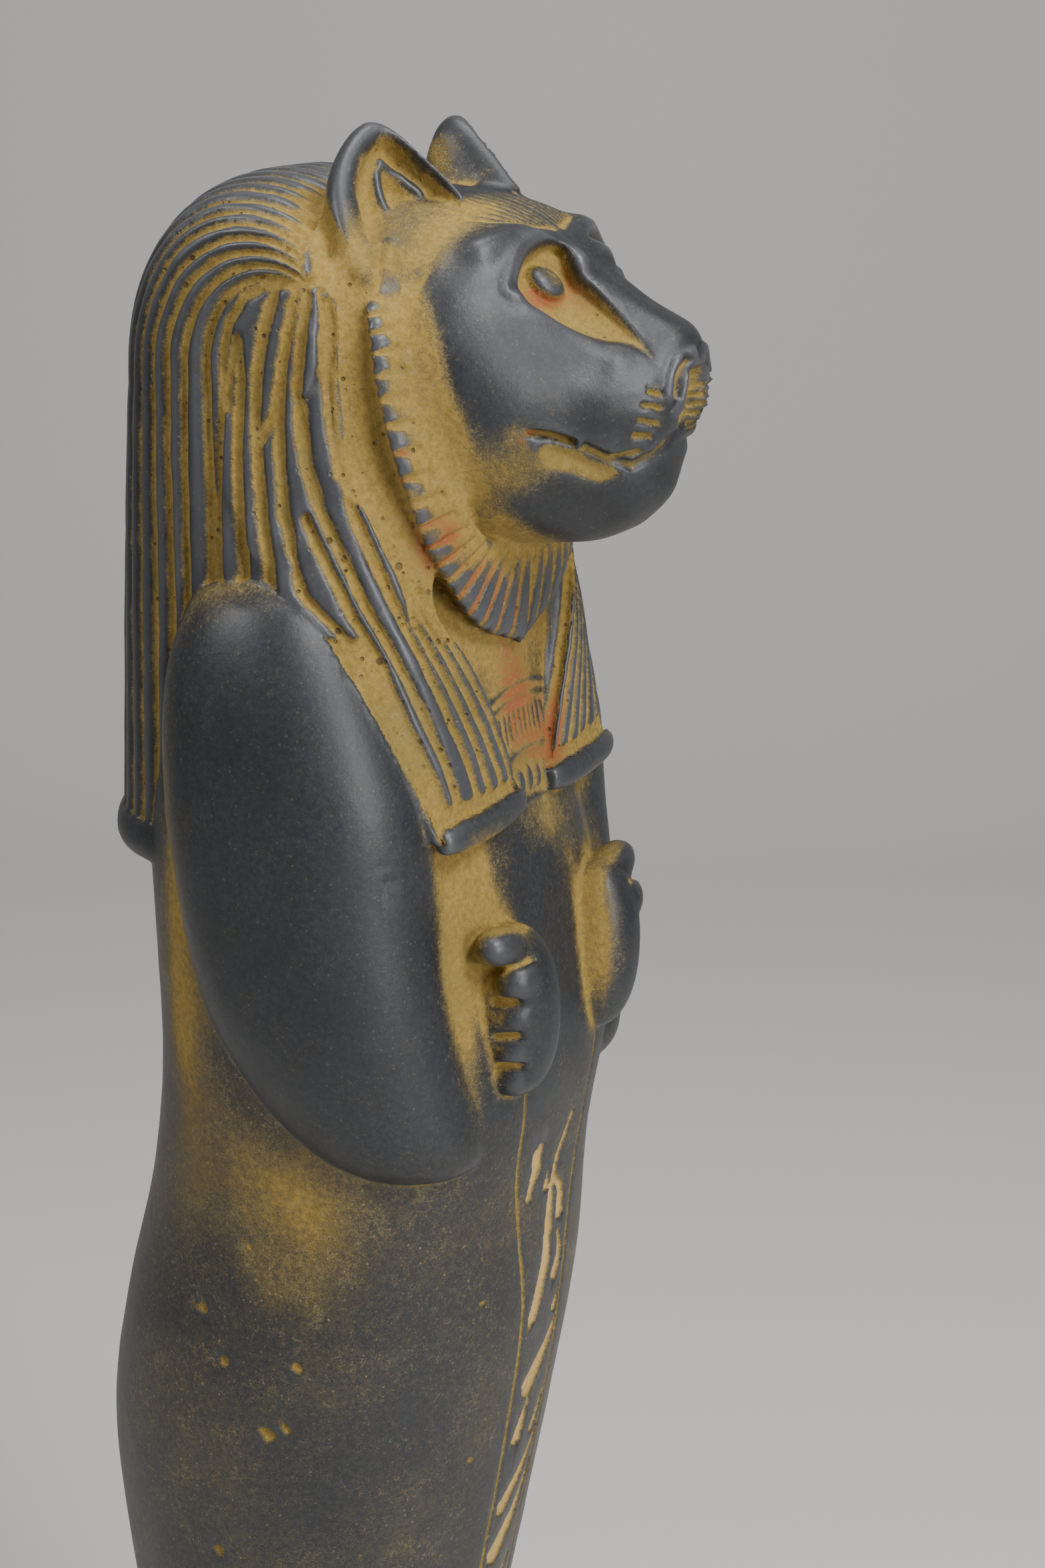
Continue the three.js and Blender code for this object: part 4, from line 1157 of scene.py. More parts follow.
print("whiskers", len(WHISKERS), "on the near side and", len(FAR_WHISKERS), "on the far side")

# %% [markdown]
# The lines differ in width, depth and in how they run out at their ends. The furrows fall off softly from
# their middle, and the slit and the whiskers are crisper. The whiskers on the far side show only at the
# outline, so they are drawn from the front.

# %% muzzle
mouth_slit = touch(face, MOUTH_SLIT, 0.95, 2.2, start=0.2, end=0.15)
lip_line = touch(face, LIP_LINE, 1.2, 1.0, start=0.05)
under_lip = touch(face, UNDER_LIP, 3.4, 1.3, start=0.25, end=0.35, crisp=0)
philtrum = touch(face, PHILTRUM, 2.9, 3.2, start=0.2, end=0.25, crisp=0)
nose = sum(touch(face, path, width, deep, start=0.12, end=0.12) for path, width, deep in NOSE_LINES)
own_x = points[head_points, 0]
near_side, far_side = own_x < -1, (own_x > 0.5) & (face[:, 1] < -58)
whisker = near_side * sum(touch(face, path, 0.75, 0.9, start=0.3, end=0.25) for path in WHISKERS)
for path in FAR_WHISKERS:
    distance, share = near(np.stack([own_x, face[:, 2]], -1), path)
    whisker += far_side * (1 - ease(0.2, 1, distance / 0.75)) * ease(0, 0.2, share) * ease(1, 0.7, share)
face_edge = touch(face, FACE_EDGE, 1.5, 0.5, start=0.15, end=0.2, crisp=0)
inwards = mouth_slit + lip_line + under_lip + philtrum + nose + whisker + face_edge
face = face - inwards[:, None] * face_normal
print("muzzle cut up to", round(float(inwards.max()), 2), "mm deep")

# %% [markdown]
# Fine hair runs back over the forehead and ends in a point between the eyes. The lines lie inside one
# another like chevrons, so one bent line is drawn seven times, each time larger. Then the finished face
# goes back into the skin, on both sides.

# %% hair on the forehead
hair_top = (face[:, 2] > 428) & (face[:, 1] > -43)
hair_lines = np.zeros(len(face))
for s in np.linspace(0.1, 1, 7):
    bend, rise = [-9.6 * s, -39.2 - 1.4 * (1 - s)], [-14.4 * s, -34.8 - 1.2 * (1 - s)]
    path = [[0, -41.8], bend, rise, [-18.5 * s, -27]]
    distance, share = near(face[:, :2], path)
    hair_lines = np.maximum(hair_lines, (1 - ease(0.15, 1, distance / 0.55)) * ease(0, 0.12, share))
hair_lines *= hair_top
face = face - (0.45 * hair_lines)[:, None] * face_normal
mirrored = np.where(own_x > 0, -1, 1)
points[head_points] = np.stack([face[:, 0] * mirrored, face[:, 1], face[:, 2]], -1)
print("hair lines touch", int((hair_lines > 0).sum()), "points")

# %% [markdown]
# On the chest a broad collar shows between the lappets: two thin lines, a band of upright strokes, a
# thick cord and a row of drops. Each is a wave or a ridge of one level, which rises a little in the middle.
# Beads of their own would be far too heavy for a relief of half a millimetre.

# %% collar
front = (points[:, 1] < -22) & (smooth_normal[:, 1] < -0.3)
chest = np.flatnonzero(front & (mass == BODY_MASS) & (points[:, 2] > 318) & (np.abs(points[:, 0]) < 30))
flat = points[chest][:, [0, 2]]
level = flat[:, 1] + 0.012 * flat[:, 0] ** 2
ridge_lines = ((348.0, 0.7, 0.5), (345.8, 0.7, 0.5), (336.0, 1.3, 0.9), (326.2, 0.6, 0.4))
collar = sum(h * np.exp(-(((level - z) / w) ** 2)) for z, w, h in ridge_lines)
strokes = np.maximum(0, np.cos(flat[:, 0] * 2 * np.pi / 2.1)) ** 0.6
strokes *= ease(337.6, 338.4, level)
strokes *= ease(344.2, 343.4, level)
drop_x = (flat[:, 0] / 3.6 + 0.5) % 1 - 0.5
drops = np.sqrt(np.maximum(0, 1 - (drop_x / 0.4) ** 2 - ((level - 330.2) / 2.6) ** 2))
collar_end = np.abs(flat[:, 0]) + 0.35 * np.maximum(336 - level, 0)
collar = (collar + 0.45 * strokes + 0.9 * drops) * ease(15, 12, collar_end)
points[chest] += smooth_normal[chest] * collar[:, None]
print("collar touches", len(chest), "points")

# %% [markdown]
# Down the front of the wrapping runs a framed column of strokes, in place of the inscription: tapered cuts
# in the same places, which go on from a seed further down and aren't letters. Each is a bent line that
# grows wider on its way and closes in a short end, as a blade leaves it that is pressed in more and more.

# %% column of strokes
# height, half width of the column
COLUMN = [[40, 7], [163, 8.7], [198, 9.2], [225, 9.6], [241, 12.3], [257, 15.4], [273, 16.4]]
# strokes across and up, each with its half width; the rows below them repeat the kind
STROKES = [
    ([[-9.4, 248.4], [-6.6, 254.3], [-7.2, 259]], 2.0),
    ([[-0.6, 250.4], [-1.2, 246.5]], 1.2),
    ([[8.6, 259.5], [3.4, 252.5], [1.5, 244.3], [0.3, 231.4], [-3.5, 222.5], [-6, 217.6]], 1.8),
    ([[3.5, 247.5], [6.4, 244], [6.8, 237]], 1.6),
    ([[6, 234.6], [7.2, 229], [3.8, 224.6]], 1.4),
    ([[9, 221.6], [6, 216.4]], 1.2),
    ([[9, 214.6], [3.6, 208.6], [-4.4, 202]], 2.5),
    ([[-1, 199.4], [-3.8, 190.2]], 1.9),
    ([[8, 197.4], [4, 188.6]], 1.3),
    ([[8.4, 188.6], [2, 180.6], [-6.4, 174.6]], 1.9),
    ([[8.2, 180], [3, 170.4], [-6.2, 162.4]], 2.4),
]
dice = np.random.default_rng(21)
for z in np.arange(154, 62, -10.4):
    x, long, wide = dice.uniform(-2.5, 2.5), dice.uniform(3.5, 6), dice.uniform(0.8, 1.7)
    STROKES.append(([[x + 0.7 * long, z + 0.8 * long], [x, z], [x - 0.8 * long, z - 0.5 * long]], wide))
column_points = np.flatnonzero(front & (mass == BODY_MASS) & (points[:, 2] < 276) & (points[:, 2] > 60))
flat = points[column_points][:, [0, 2]]
column_half = at(COLUMN, flat[:, 1])[:, 0]
column_cut = 0.55 * (1 - ease(0.2, 1, np.abs(np.abs(flat[:, 0]) - column_half) / 0.7))
for path, wide in STROKES:
    distance, share = near(flat, path)
    taper = wide * (0.45 + 0.75 * ease(0, 0.8, share)) * ease(1, 0.93, share)
    stroke = 0.8 * (1 - ease(-0.25, 0.35, distance - taper))
    column_cut = np.maximum(column_cut, 1.15 * stroke * (np.abs(flat[:, 0]) < column_half - 0.9))
points[column_points] -= smooth_normal[column_points] * column_cut[:, None]
print("column has", len(STROKES), "strokes")

# %% [markdown]
# The stone has been knocked and scratched. Chips are small bowls with a ragged edge, at the places where
# the photograph shows them, and the arm carries two shallow scratches. Scattering them at random would be
# less work, but these few marks are what makes the figure this one. The fingers are parted here too, and
# the whole skin gets the slight unevenness of hand work.

# %% chips, scratches and finger hollows
# place, radius, depth
CHIPS = [
    ([-47.9, 10.7, 233], 1.6, 0.7),
    ([-49.5, 5.3, 223.6], 1.5, 0.7),
    ([-47.7, -9.5, 224.7], 1.4, 0.6),
    ([-48.3, -3.4, 209.3], 2.1, 0.8),
    ([-47.1, -6.6, 211.2], 1.8, 0.8),
    ([-23.3, -35.6, 232], 1.3, 0.6),
    ([-19.9, -31.7, 195.2], 1.2, 0.6),
    ([-47.4, 9.4, 179.8], 1.5, 0.7),
    ([-48.5, 0.3, 254.8], 0.9, 0.4),
    ([-48.4, 0, 247.4], 0.9, 0.4),
]
SCRATCHES = [[[-49.1, -28.1, 326.5], [-44.6, -30.9, 325.5]], [[-48.4, -29.3, 323.6], [-44.9, -31.4, 323.1]]]
FINGER_HOLLOWS = [
    [[-30, -40, 302.4], [-25, -45, 302.6], [-21, -47.5, 304]],
    [[-30, -41, 296.4], [-25.4, -46.4, 296]],
    [[-30, -41.5, 289.6], [-25.4, -46.8, 289.3]],
    [[-29, -41.5, 283.4], [-24.6, -46.8, 283]],
]
chip_cut = np.zeros(len(points))
ragged = 1 + 0.28 * wobble(points, 2.2, 11)
for place, radius, deep in CHIPS:
    distance = np.linalg.norm(points - place, axis=1) * ragged
    chip_cut = np.maximum(chip_cut, deep * ease(1, 0.45, distance / radius))
scratch_cut = np.zeros(len(points))
beside = points[:, 0] < -40
for path in SCRATCHES:
    scratch_cut[beside] = np.maximum(scratch_cut[beside], touch(points[beside], path, 0.5, 0.25, 0.3, 0.3))
hand_points = np.flatnonzero(mass == HAND_MASS)
folded = right_side(points[hand_points])
finger_cut = sum(touch(folded, path, 1.3, 1.0, 0.1, 0.35) for path in FINGER_HOLLOWS)
cut = chip_cut + scratch_cut
cut[hand_points] += finger_cut
points = points - smooth_normal * cut[:, None]

# slight unevenness of hand-finished stone
uneven = 0.05 * wobble(points, 26, 5) + 0.02 * wobble(points, 9, 6)
points = points + smooth_normal * (uneven * (points[:, 2] > 1))[:, None]
print("chips", int((chip_cut > 0.1).sum()), "points")

# %% [markdown]
# Dust settles where nothing rubs: in grooves, in corners between forms and in large sheltered hollows.
# Handling polishes what stands proud, and there the stone is also painted paler as a highlight. A shader
# could find the hollows at render time, but an exported model has to bring them along. So the skin is
# measured against relaxed copies of itself, which gives small and middle-sized hollows, and a coarse count
# of what blocks the view gives the large ones.

# %% hollows and proud places
normal = aim(points)


def hollow(passes):
    """How far the relaxed skin lies outside the point, in millimetres: above zero in a hollow."""
    return ((relax(points, passes) - points) * normal).sum(1)


fine_hollow = relax(hollow(5), 2)
wide_hollow = relax(hollow(60), 4)


def shelter(cell=3.4, reach=30.0):
    """Share of the outward view that other parts of the figure block, worked out between coarse cells."""
    key = np.floor(points / cell).astype(np.int64)
    key = (key[:, 0] + 500) * 10**8 + (key[:, 1] + 500) * 10**4 + key[:, 2] + 500
    _, cell_of, count = np.unique(key, return_inverse=True, return_counts=True)
    cell_of = cell_of.ravel()
    place = np.stack([np.bincount(cell_of, points[:, k]) / count for k in range(3)], -1)
    out = np.stack([np.bincount(cell_of, normal[:, k]) / count for k in range(3)], -1)
    out /= np.linalg.norm(out, axis=1, keepdims=True) + 1e-9
    area = count * VOXEL**2
    blocked = np.zeros(len(place))
    for first in range(0, len(place), 1000):
        here = slice(first, first + 1000)
        toward = place[None] - place[here][:, None]
        distance = np.linalg.norm(toward, axis=-1) + 1e-6
        toward /= distance[..., None]
        seen = np.maximum(0, np.einsum("ijk,ik->ij", toward, out[here]))
        facing = np.maximum(0, -np.einsum("ijk,jk->ij", toward, out))
        weight = seen * facing * area / (np.pi * (distance**2 + cell**2))
        blocked[here] = (weight * (distance < reach)).sum(1)
    return relax(np.clip(blocked, 0, 1)[cell_of], 30)


sheltered = shelter()
print(
    "hollows: fine", np.percentile(fine_hollow, [2, 50, 98]).round(3),
    "wide", np.percentile(wide_hollow, [2, 50, 98]).round(3),
    "shelter", np.percentile(sheltered, [50, 90, 98]).round(3),
)

# %% [markdown]
# The photograph also shows dust, red earth and rubbed stone in places of their own: below the elbow,
# along the flank, beside the hands, round the eye. Each is an oval patch with a place, three radii and a
# strength. The places lie on the figure's right side or near its middle, where the photograph shows them.

# %% places of dust and red earth
def patches(table):
    """Sum of soft ovals: place, radii and strength of each."""
    total = np.zeros(len(points))
    for place, radii, strength in table:
        total += strength * np.exp(-((((points - place) / radii) ** 2).sum(1)))
    return total


DUST_PATCHES = [
    # round the ear and down the strip between wig and ruff
    ([-36, -15, 430], [9, 9, 9], 0.9),
    ([-32, -8.6, 431.5], [7, 4.6, 5], 1.3),
    ([-22, -5, 436.5], [8, 4.2, 5], 1.1),
    ([-38, -15.5, 425], [6, 4, 7], 0.9),
    ([-39.5, -20, 412], [4, 4.5, 12], 0.9),
    ([-38, -23, 396], [4, 4.5, 11], 0.9),
    ([-34, -28.5, 381], [5, 4, 9], 0.9),
    ([-29, -32, 370], [5, 3.5, 8], 0.8),
    ([-27, -27, 429], [9, 5, 5], 0.85),
    ([-18, -29, 434], [9, 5, 4], 0.75),
    ([-10, -33, 437], [9, 6, 4], 0.6),
    # the jaw behind the mouth and under it
    ([-31.5, -34, 402], [3.4, 4, 14], 0.4),
    ([-27.5, -39, 393], [6, 7, 10], 0.45),
    ([-25, -45, 391], [5, 6, 5], 0.4),
    ([-25.4, -46, 399.2], [3.2, 3.4, 2.6], 0.65),
    ([-21, -50, 394.5], [4, 4, 2.6], 0.7),
    ([-14, -58, 391.5], [5, 4, 2], 0.5),
    # the chest beside the arms, under the bands and beside the hands
    ([-26, -38, 321], [9, 6, 8], 0.9),
    ([-22, -40, 311], [7, 6, 9], 0.8),
    ([6, -40, 321], [13, 6, 5], 0.6),
    ([-32, -36, 301], [4, 6, 22], 0.9),
    ([13, -41, 300], [4, 7, 20], 0.8),
    # the flank behind the arm
    ([-47, 14, 322], [7, 6, 28], 0.6),
    ([-48, 15, 285], [7, 8, 30], 0.45),
    ([-44, 2, 368], [5, 12, 8], 0.5),
]
CHEST_PATCHES = [
    ([0, -36, 350], [14, 8, 14], 1.2),
    ([2, -37, 333], [10, 6, 7], 0.8),
]
CLEAN_PATCHES = [
    ([-27, -41, 414], [6, 9, 11], 0.7),
    ([-14, -56, 402], [8, 8, 7], 0.5),
    ([-10, -56, 384], [10, 9, 6], 0.5),
    ([-8, -43, 302], [7, 6, 24], 0.5),
    ([-16.5, -43, 332], [5, 5, 12], 0.3),
]
RED_PATCHES = [
    ([-18.4, -41.6, 425.4], [2.2, 2.2, 2.2], 0.8),
    ([-10, -44.6, 428.6], [3.2, 3, 2.4], 0.7),
    ([-6.8, -48.4, 424.9], [3.8, 3.8, 4], 1.5),
    ([-14, -45.8, 421.4], [4.8, 4.5, 2.6], 1.4),
    ([-8.9, -51, 419.8], [3.2, 3.2, 2.8], 0.85),
    ([-24.8, -46.4, 398.2], [3, 3, 2.2], 1.3),
    ([-17, -55, 394], [4, 5, 1.4], 0.6),
    ([-8.6, -64, 394.2], [3, 3, 1.6], 0.8),
    ([-4, -65.6, 397], [2, 2.4, 2.4], 0.9),
    ([-38, -28, 394], [4, 4, 8], 0.8),
    ([-31, -32, 380], [6, 5, 7], 0.95),
    ([-20, -35, 370], [8, 5, 7], 1.05),
    ([-8, -36, 364], [9, 5, 6], 0.85),
    ([-1, -35, 346], [9, 6, 14], 1.15),
    ([11, -37, 340], [6, 6, 16], 0.95),
    ([-40, -24, 377], [3, 3, 4], 0.5),
    ([-20, -22, 441], [5, 4, 6], 0.8),
    ([-27, -25, 431], [4, 4, 4], 0.5),
]
print("patches", len(DUST_PATCHES), "of dust and", len(RED_PATCHES), "of red earth")

# %% [markdown]
# The grooves between the locks hold the most dust, and it creeps up their walls, further on the lappets
# than on the wig. The ruff is dusty at its root and wiped at its rim. Both follow from distances that are
# known already, so no painting by hand is needed.

# %% dust in grooves and ruff
folded = right_side(points)
reach = gap / half * (1 + 0.12 * wobble(points, 5, 8))
bare_from = np.where(mass == WIG_MASS, 0.35, np.where(mass == LAPPET_MASS, 0.6, 0.5))
lock_dust = (lock_depth > 0) * (1 - ease(bare_from, bare_from + 0.55, reach))
RUFF_RIM = [row[1:4] for row in RUFFLE]
RUFF_ROOT = [row[4:7] for row in RUFFLE]
to_rim, to_root = near(folded, RUFF_RIM)[0], near(folded, RUFF_ROOT)[0]
inward = to_rim / (to_rim + to_root)
at_cheek = ease(362, 386, points[:, 2])
inward += 0.1 * wobble(points, 6, 35)
upper_ruff = 0.5 + 0.45 * wobble(points, 4, 36) + 1.2 * ease(0.18, 0.56, inward)
ruff_dust = (mass == RUFF_MASS) * mix(0.5 * ease(0.4, 0.8, inward), upper_ruff, at_cheek)
on_jaw = (mass == HEAD_MASS) | (mass == RUFF_MASS)
root_dust = on_jaw * (1 - ease(1.5, 5.5, to_root)) * ease(370, 388, points[:, 2])
print("grooves hold dust on", int((lock_dust > 0.5).sum()), "points")

# %% [markdown]
# Below the elbow lies a cloud of dust that fades out downwards, because the arm keeps hands away from
# there. Further down a thin film is left, and the wrapping shows faint upright streaks of wiping.

# %% dust below the arm
level = points[:, 2]
# the arm's lower outline, from the back to the front
UNDER_ARM = [
    [-45, 14, 288], [-47.5, 6, 275], [-48.4, -1.2, 264],
    [-47, -13, 258], [-44.6, -25, 260], [-38, -31, 258],
]
from_arm = near(folded, UNDER_ARM)[0] * (1 + 0.2 * wobble(points, 15, 33))
forward = -11 - points[:, 1]
before_elbow = np.exp(-((forward / 11) ** 2))
behind_elbow = 0.45 + 0.55 * np.exp(-((forward / 12) ** 2))
beside_elbow = np.where(forward > 0, before_elbow, behind_elbow)
below_elbow = mix(0.6, 0.0, np.clip(from_arm / 25, 0, 1) ** 0.7) * beside_elbow
lower_film = 0.23 * ease(285, 250, level) * (0.85 + 0.25 * wobble(points, 34, 31))
streaks = 0.1 * wobble(points * [1, 1, 0.25], 9, 32) * (mass == BODY_MASS) * ease(262, 280, level)
print("cloud below the elbow is up to", round(float(below_elbow.max()), 2), "strong")

# %% [markdown]
# Now all of that is added up into five values on each point: dust, red earth, rub and painted highlight,
# pits and pale strokes. A painted picture could hold them too, but values on the points need no unwrapping
# and stay sharp where the skin is fine.

# %% dust, red earth, rub and painted highlight
# the grooves, the sunk strip and the ear hold most of it, then come hollows, shelter and the patches
dust = 0.95 * lock_dust + 0.85 * in_strip + 0.72 * dusty * (mass == EAR_MASS)
dust += 0.75 * ease(0.02, 0.14, fine_hollow) + 0.6 * ease(0.1, 0.7, wide_hollow)
dust += 0.7 * ease(0.1, 0.34, sheltered) + patches(DUST_PATCHES) - patches(CLEAN_PATCHES)
dust += patches(CHEST_PATCHES) * (mass == BODY_MASS)
dust += below_elbow * (mass == BODY_MASS) + lower_film + streaks
# what stands proud is wiped
dust -= 0.7 * ease(0.02, 0.12, -fine_hollow) + 0.45 * ease(0.15, 0.8, -wide_hollow)
dust += ruff_dust + 0.7 * root_dust
dust -= 0.45 * (lock_depth > 0) * ease(1.1, 1.7, reach) * (1 - in_strip)
# socket, whiskers, lip and hair lines, chips, and the strokes of the column
in_socket = np.zeros(len(points))
in_socket[head_points] = socket - 0.1 * eyeball
face_dust = np.zeros(len(points))
face_dust[head_points] = 0.9 * (whisker > 0.3) + 0.7 * (under_lip > 0.4)
face_dust[head_points] += 0.6 * (philtrum > 0.8)
face_dust[head_points] += 0.8 * hair_lines
dust += 0.9 * in_socket + face_dust + 0.3 * (chip_cut > 0.15)
stroke_dust = np.zeros(len(points))
stroke_dust[column_points] = 1.8 * column_cut
dust += stroke_dust
dust = np.clip(dust, 0, 1)
red = np.clip(patches(RED_PATCHES) * dust, 0, 1)
# painted highlight on proud places and lock tops; the same value also makes them glossier, as rubbing does
proud = 0.35 * ease(0.01, 0.12, -fine_hollow) + 0.45 * ease(0.1, 0.9, -wide_hollow)
rub = np.clip(proud + 0.35 * (lock_depth > 0) * ease(1, 1.6, reach), 0, 1) * (1 - dust)
pits = np.clip(lock_dust * (lock_depth > 0) + in_strip + 0.6 * in_socket + 0.5 * dusty, 0, 1)
pale = ease(0.5, 0.85, stroke_dust / 1.8)
LOOKS = {"dust": dust, "red": red, "rub": rub, "pits": pits, "pale": pale}
LOOKS = {name: relax(values, 1) for name, values in LOOKS.items()}
print("dusty share", round(float(dust.mean()), 3), "red share", round(float(red.mean()), 4))

# %% [markdown]
# The carved skin is thinned to a sensible count of triangles: flat places need few, edges keep many, which
# a coarser voxel grid wouldn't give. The thinned skin then reads its dust, red, rub and painted highlight
# back from the full one.

# %% the finished figure
TRIANGLES = 190000
full_mesh = make_mesh("carved skin", points, faces)
put_facts(full_mesh, LOOKS)
full = new_object("carved skin", full_mesh)
thin = full.modifiers.new("thin", "DECIMATE")
thin.ratio = TRIANGLES / (2 * len(faces))
thin.use_collapse_triangulate = True
thinned = new_object("thinned skin", baked(full, "thinned skin"))
full.modifiers.clear()
figure_mesh = carry_facts(full, thinned, list(LOOKS))
figure_mesh.name = "lioness figure"
figure_mesh.shade_smooth()
figure = new_object("lioness_figure", figure_mesh)
for spent in (full, thinned):
    bpy.data.objects.remove(spent)
print("figure has", len(figure_mesh.polygons), "triangles")

# %% [markdown]
# A material is a small network of nodes: textures and sums that end in the shader. Drawn with the mouse it
# can't be read like a text, so a helper adds one node for each call and links it to what it is given.

# %% node helpers
def material(name):
    """Empty node material with its shader and output."""
    made = bpy.data.materials.new(name)
    made.use_nodes = True
    return made, made.node_tree.nodes, made.node_tree.links


class Shader:
    """Small helper that adds nodes and links them by value or by socket."""

    def __init__(self, name):
        self.material, self.nodes, self.links = material(name)
        self.surface = self.nodes["Principled BSDF"]
        self.place = self.nodes.new("ShaderNodeTexCoord").outputs["Object"]

    def join(self, socket, value):
        """Links an input to another node's output, or sets it to a plain value."""
        if isinstance(value, bpy.types.NodeSocket):
            self.links.new(value, socket)
        else:
            socket.default_value = value

    def math(self, how, a, b=0.0, c=0.0, clamp=False):
        """One step of arithmetic."""
        node = self.nodes.new("ShaderNodeMath")
        node.operation = how
        node.use_clamp = clamp
        for socket, value in zip(node.inputs, (a, b, c)):
            self.join(socket, value)
        return node.outputs[0]

    def fact(self, name):
        """A value that the points of the mesh carry."""
        node = self.nodes.new("ShaderNodeAttribute")
        node.attribute_name = name
        return node.outputs["Fac"]

    def noise(self, size, detail=3.0, rough=0.55):
        """Cloudy noise whose blotches are about that many millimetres wide."""
        node = self.nodes.new("ShaderNodeTexNoise")
        self.links.new(self.place, node.inputs["Vector"])
        node.inputs["Scale"].default_value = 1 / (size * MM)
        node.inputs["Detail"].default_value = detail
        node.inputs["Roughness"].default_value = rough
        return node.outputs["Fac"]

    def cells(self, size, what="Distance"):
        """Cells of that size in millimetres: distance to the middle of the cell, or a colour for each."""
        node = self.nodes.new("ShaderNodeTexVoronoi")
        self.links.new(self.place, node.inputs["Vector"])
        node.inputs["Scale"].default_value = 1 / (size * MM)
        return node.outputs[what]

    def step(self, value, low, high, start=0.0, end=1.0):
        """The start value up to low, the end value from high on, and a smooth S between them."""
        node = self.nodes.new("ShaderNodeMapRange")
        node.interpolation_type = "SMOOTHSTEP"
        for socket, given in zip(node.inputs, (value, low, high, start, end)):
            self.join(socket, given)
        return node.outputs["Result"]

    def blend(self, factor, a, b):
        """Colour a, mixed with the given share of colour b."""
        node = self.nodes.new("ShaderNodeMix")
        node.data_type = "RGBA"
        colours = [socket for socket in node.inputs if socket.type == "RGBA"]
        self.join(node.inputs[0], factor)
        self.join(colours[0], a)
        self.join(colours[1], b)
        return next(socket for socket in node.outputs if socket.type == "RGBA")

    def bump(self, height, distance, strength, below=None):
        """Normal tilted by a height of that many millimetres, laid over another bump if there is one."""
        node = self.nodes.new("ShaderNodeBump")
        self.join(node.inputs["Height"], height)
        node.inputs["Distance"].default_value = distance * MM
        self.join(node.inputs["Strength"], strength)
        if below is not None:
            self.links.new(below, node.inputs["Normal"])
        return node.outputs["Normal"]


print("node helpers", [name for name in vars(Shader) if name[0] != "_"])

# %% [markdown]
# The finish is one material. Dark, fine stone with a waxy sheen lies under a dull ochre powder, and the
# line between them is broken up by noise, so it looks wiped rather than painted. Two materials side by
# side would meet along the edges of triangles instead.

# %% noise and powder
def colour(red, green, blue):
    """Screen colour from 0 to 255 as the linear values that shaders take."""
    values = np.array([red, green, blue]) / 255
    linear = np.where(values <= 0.04045, values / 12.92, ((values + 0.055) / 1.055) ** 2.4)
    return (*map(float, linear), 1.0)


stone = Shader("stone")
dust_fact, red_fact, rub_and_highlight_fact, pit_fact, pale_fact = (stone.fact(name) for name in LOOKS)
grain = stone.noise(0.35, 4.0)
crumb = stone.noise(1.1, 4.0, 0.62)
cloud = stone.noise(7.0, 4.0, 0.6)
broad = stone.noise(26.0, 3.0)

# how much powder covers the stone: the carried value pushed about by noise at three sizes
cover = stone.math("ADD", dust_fact, stone.math("MULTIPLY", stone.math("SUBTRACT", grain, 0.5), 0.75))
cover = stone.math("ADD", cover, stone.math("MULTIPLY", stone.math("SUBTRACT", crumb, 0.5), 0.4))
cover = stone.math("ADD", cover, stone.math("MULTIPLY", stone.math("SUBTRACT", cloud, 0.5), 0.3))
powder = stone.step(cover, 0.3, 0.82)
film = stone.step(cover, 0.05, 0.5)
print("black and white as shader colours", colour(0, 0, 0), colour(255, 255, 255))

# %% [markdown]
# Neither the stone nor the powder has one flat colour. Bare stone is near black with a finer, paler grain,
# and proud edges and lock tops are painted paler as a highlight. The powder runs from olive to ochre, is
# pale in the strokes of the column, and red earth clings to a few hollows. The colours were matched to the
# photograph.

# %% colours of stone and powder
dark = stone.blend(stone.step(crumb, 0.3, 0.7), colour(32, 34, 37), colour(43, 45, 49))
dark = stone.blend(stone.step(broad, 0.4, 0.65, 0.0, 0.4), dark, colour(28, 29, 32))
dark = stone.blend(stone.step(grain, 0.58, 0.78, 0.0, 0.5), dark, colour(74, 77, 82))
# painted highlight: paler grey on proud edges and lock tops
stone_with_highlight = stone.blend(stone.math("MULTIPLY", rub_and_highlight_fact, 0.6), dark, colour(98, 99, 103))
stone_with_highlight = stone.blend(stone.math("MULTIPLY", film, 0.6), stone_with_highlight, colour(94, 81, 45))
ochre = stone.blend(stone.step(crumb, 0.3, 0.7), colour(126, 103, 43), colour(150, 124, 58))
ochre = stone.blend(stone.step(grain, 0.54, 0.74, 0.0, 0.4), ochre, colour(84, 64, 25))
ochre = stone.blend(stone.step(broad, 0.45, 0.7, 0.0, 0.5), ochre, colour(112, 97, 46))
ochre = stone.blend(stone.math("MULTIPLY", pale_fact, 0.75), ochre, colour(204, 170, 108))
red_cover = stone.math("ADD", red_fact, stone.math("MULTIPLY", stone.math("SUBTRACT", crumb, 0.5), 1.3))
ochre = stone.blend(stone.step(red_cover, 0.3, 0.9, 0.0, 0.75), ochre, colour(138, 62, 34))
print("colours mixed with", len(stone.nodes), "nodes")

# %% [markdown]
# Small bubble pits sit in the grooves in swarms, as in a coating that foamed while it dried. Modelled one
# by one they would cost millions of triangles. So they are the middles of random cells, in two sizes, with
# painted shade inside.
# Pale specks and thin scuffs lie on the bare stone wherever a film of powder is left.

# %% pits, specks and scuffs
def bubbles(size, edge, chosen, swarm):
    """Round pits in cells of one size: in some of the cells, in swarms, where the pit fact allows it."""
    allowed = stone.math("MULTIPLY", stone.step(stone.cells(size, "Color"), *chosen), pit_fact)
    allowed = stone.math("MULTIPLY", allowed, stone.step(stone.noise(swarm[0]), *swarm[1:]))
    return stone.math("MULTIPLY", stone.step(stone.cells(size), *edge), allowed)


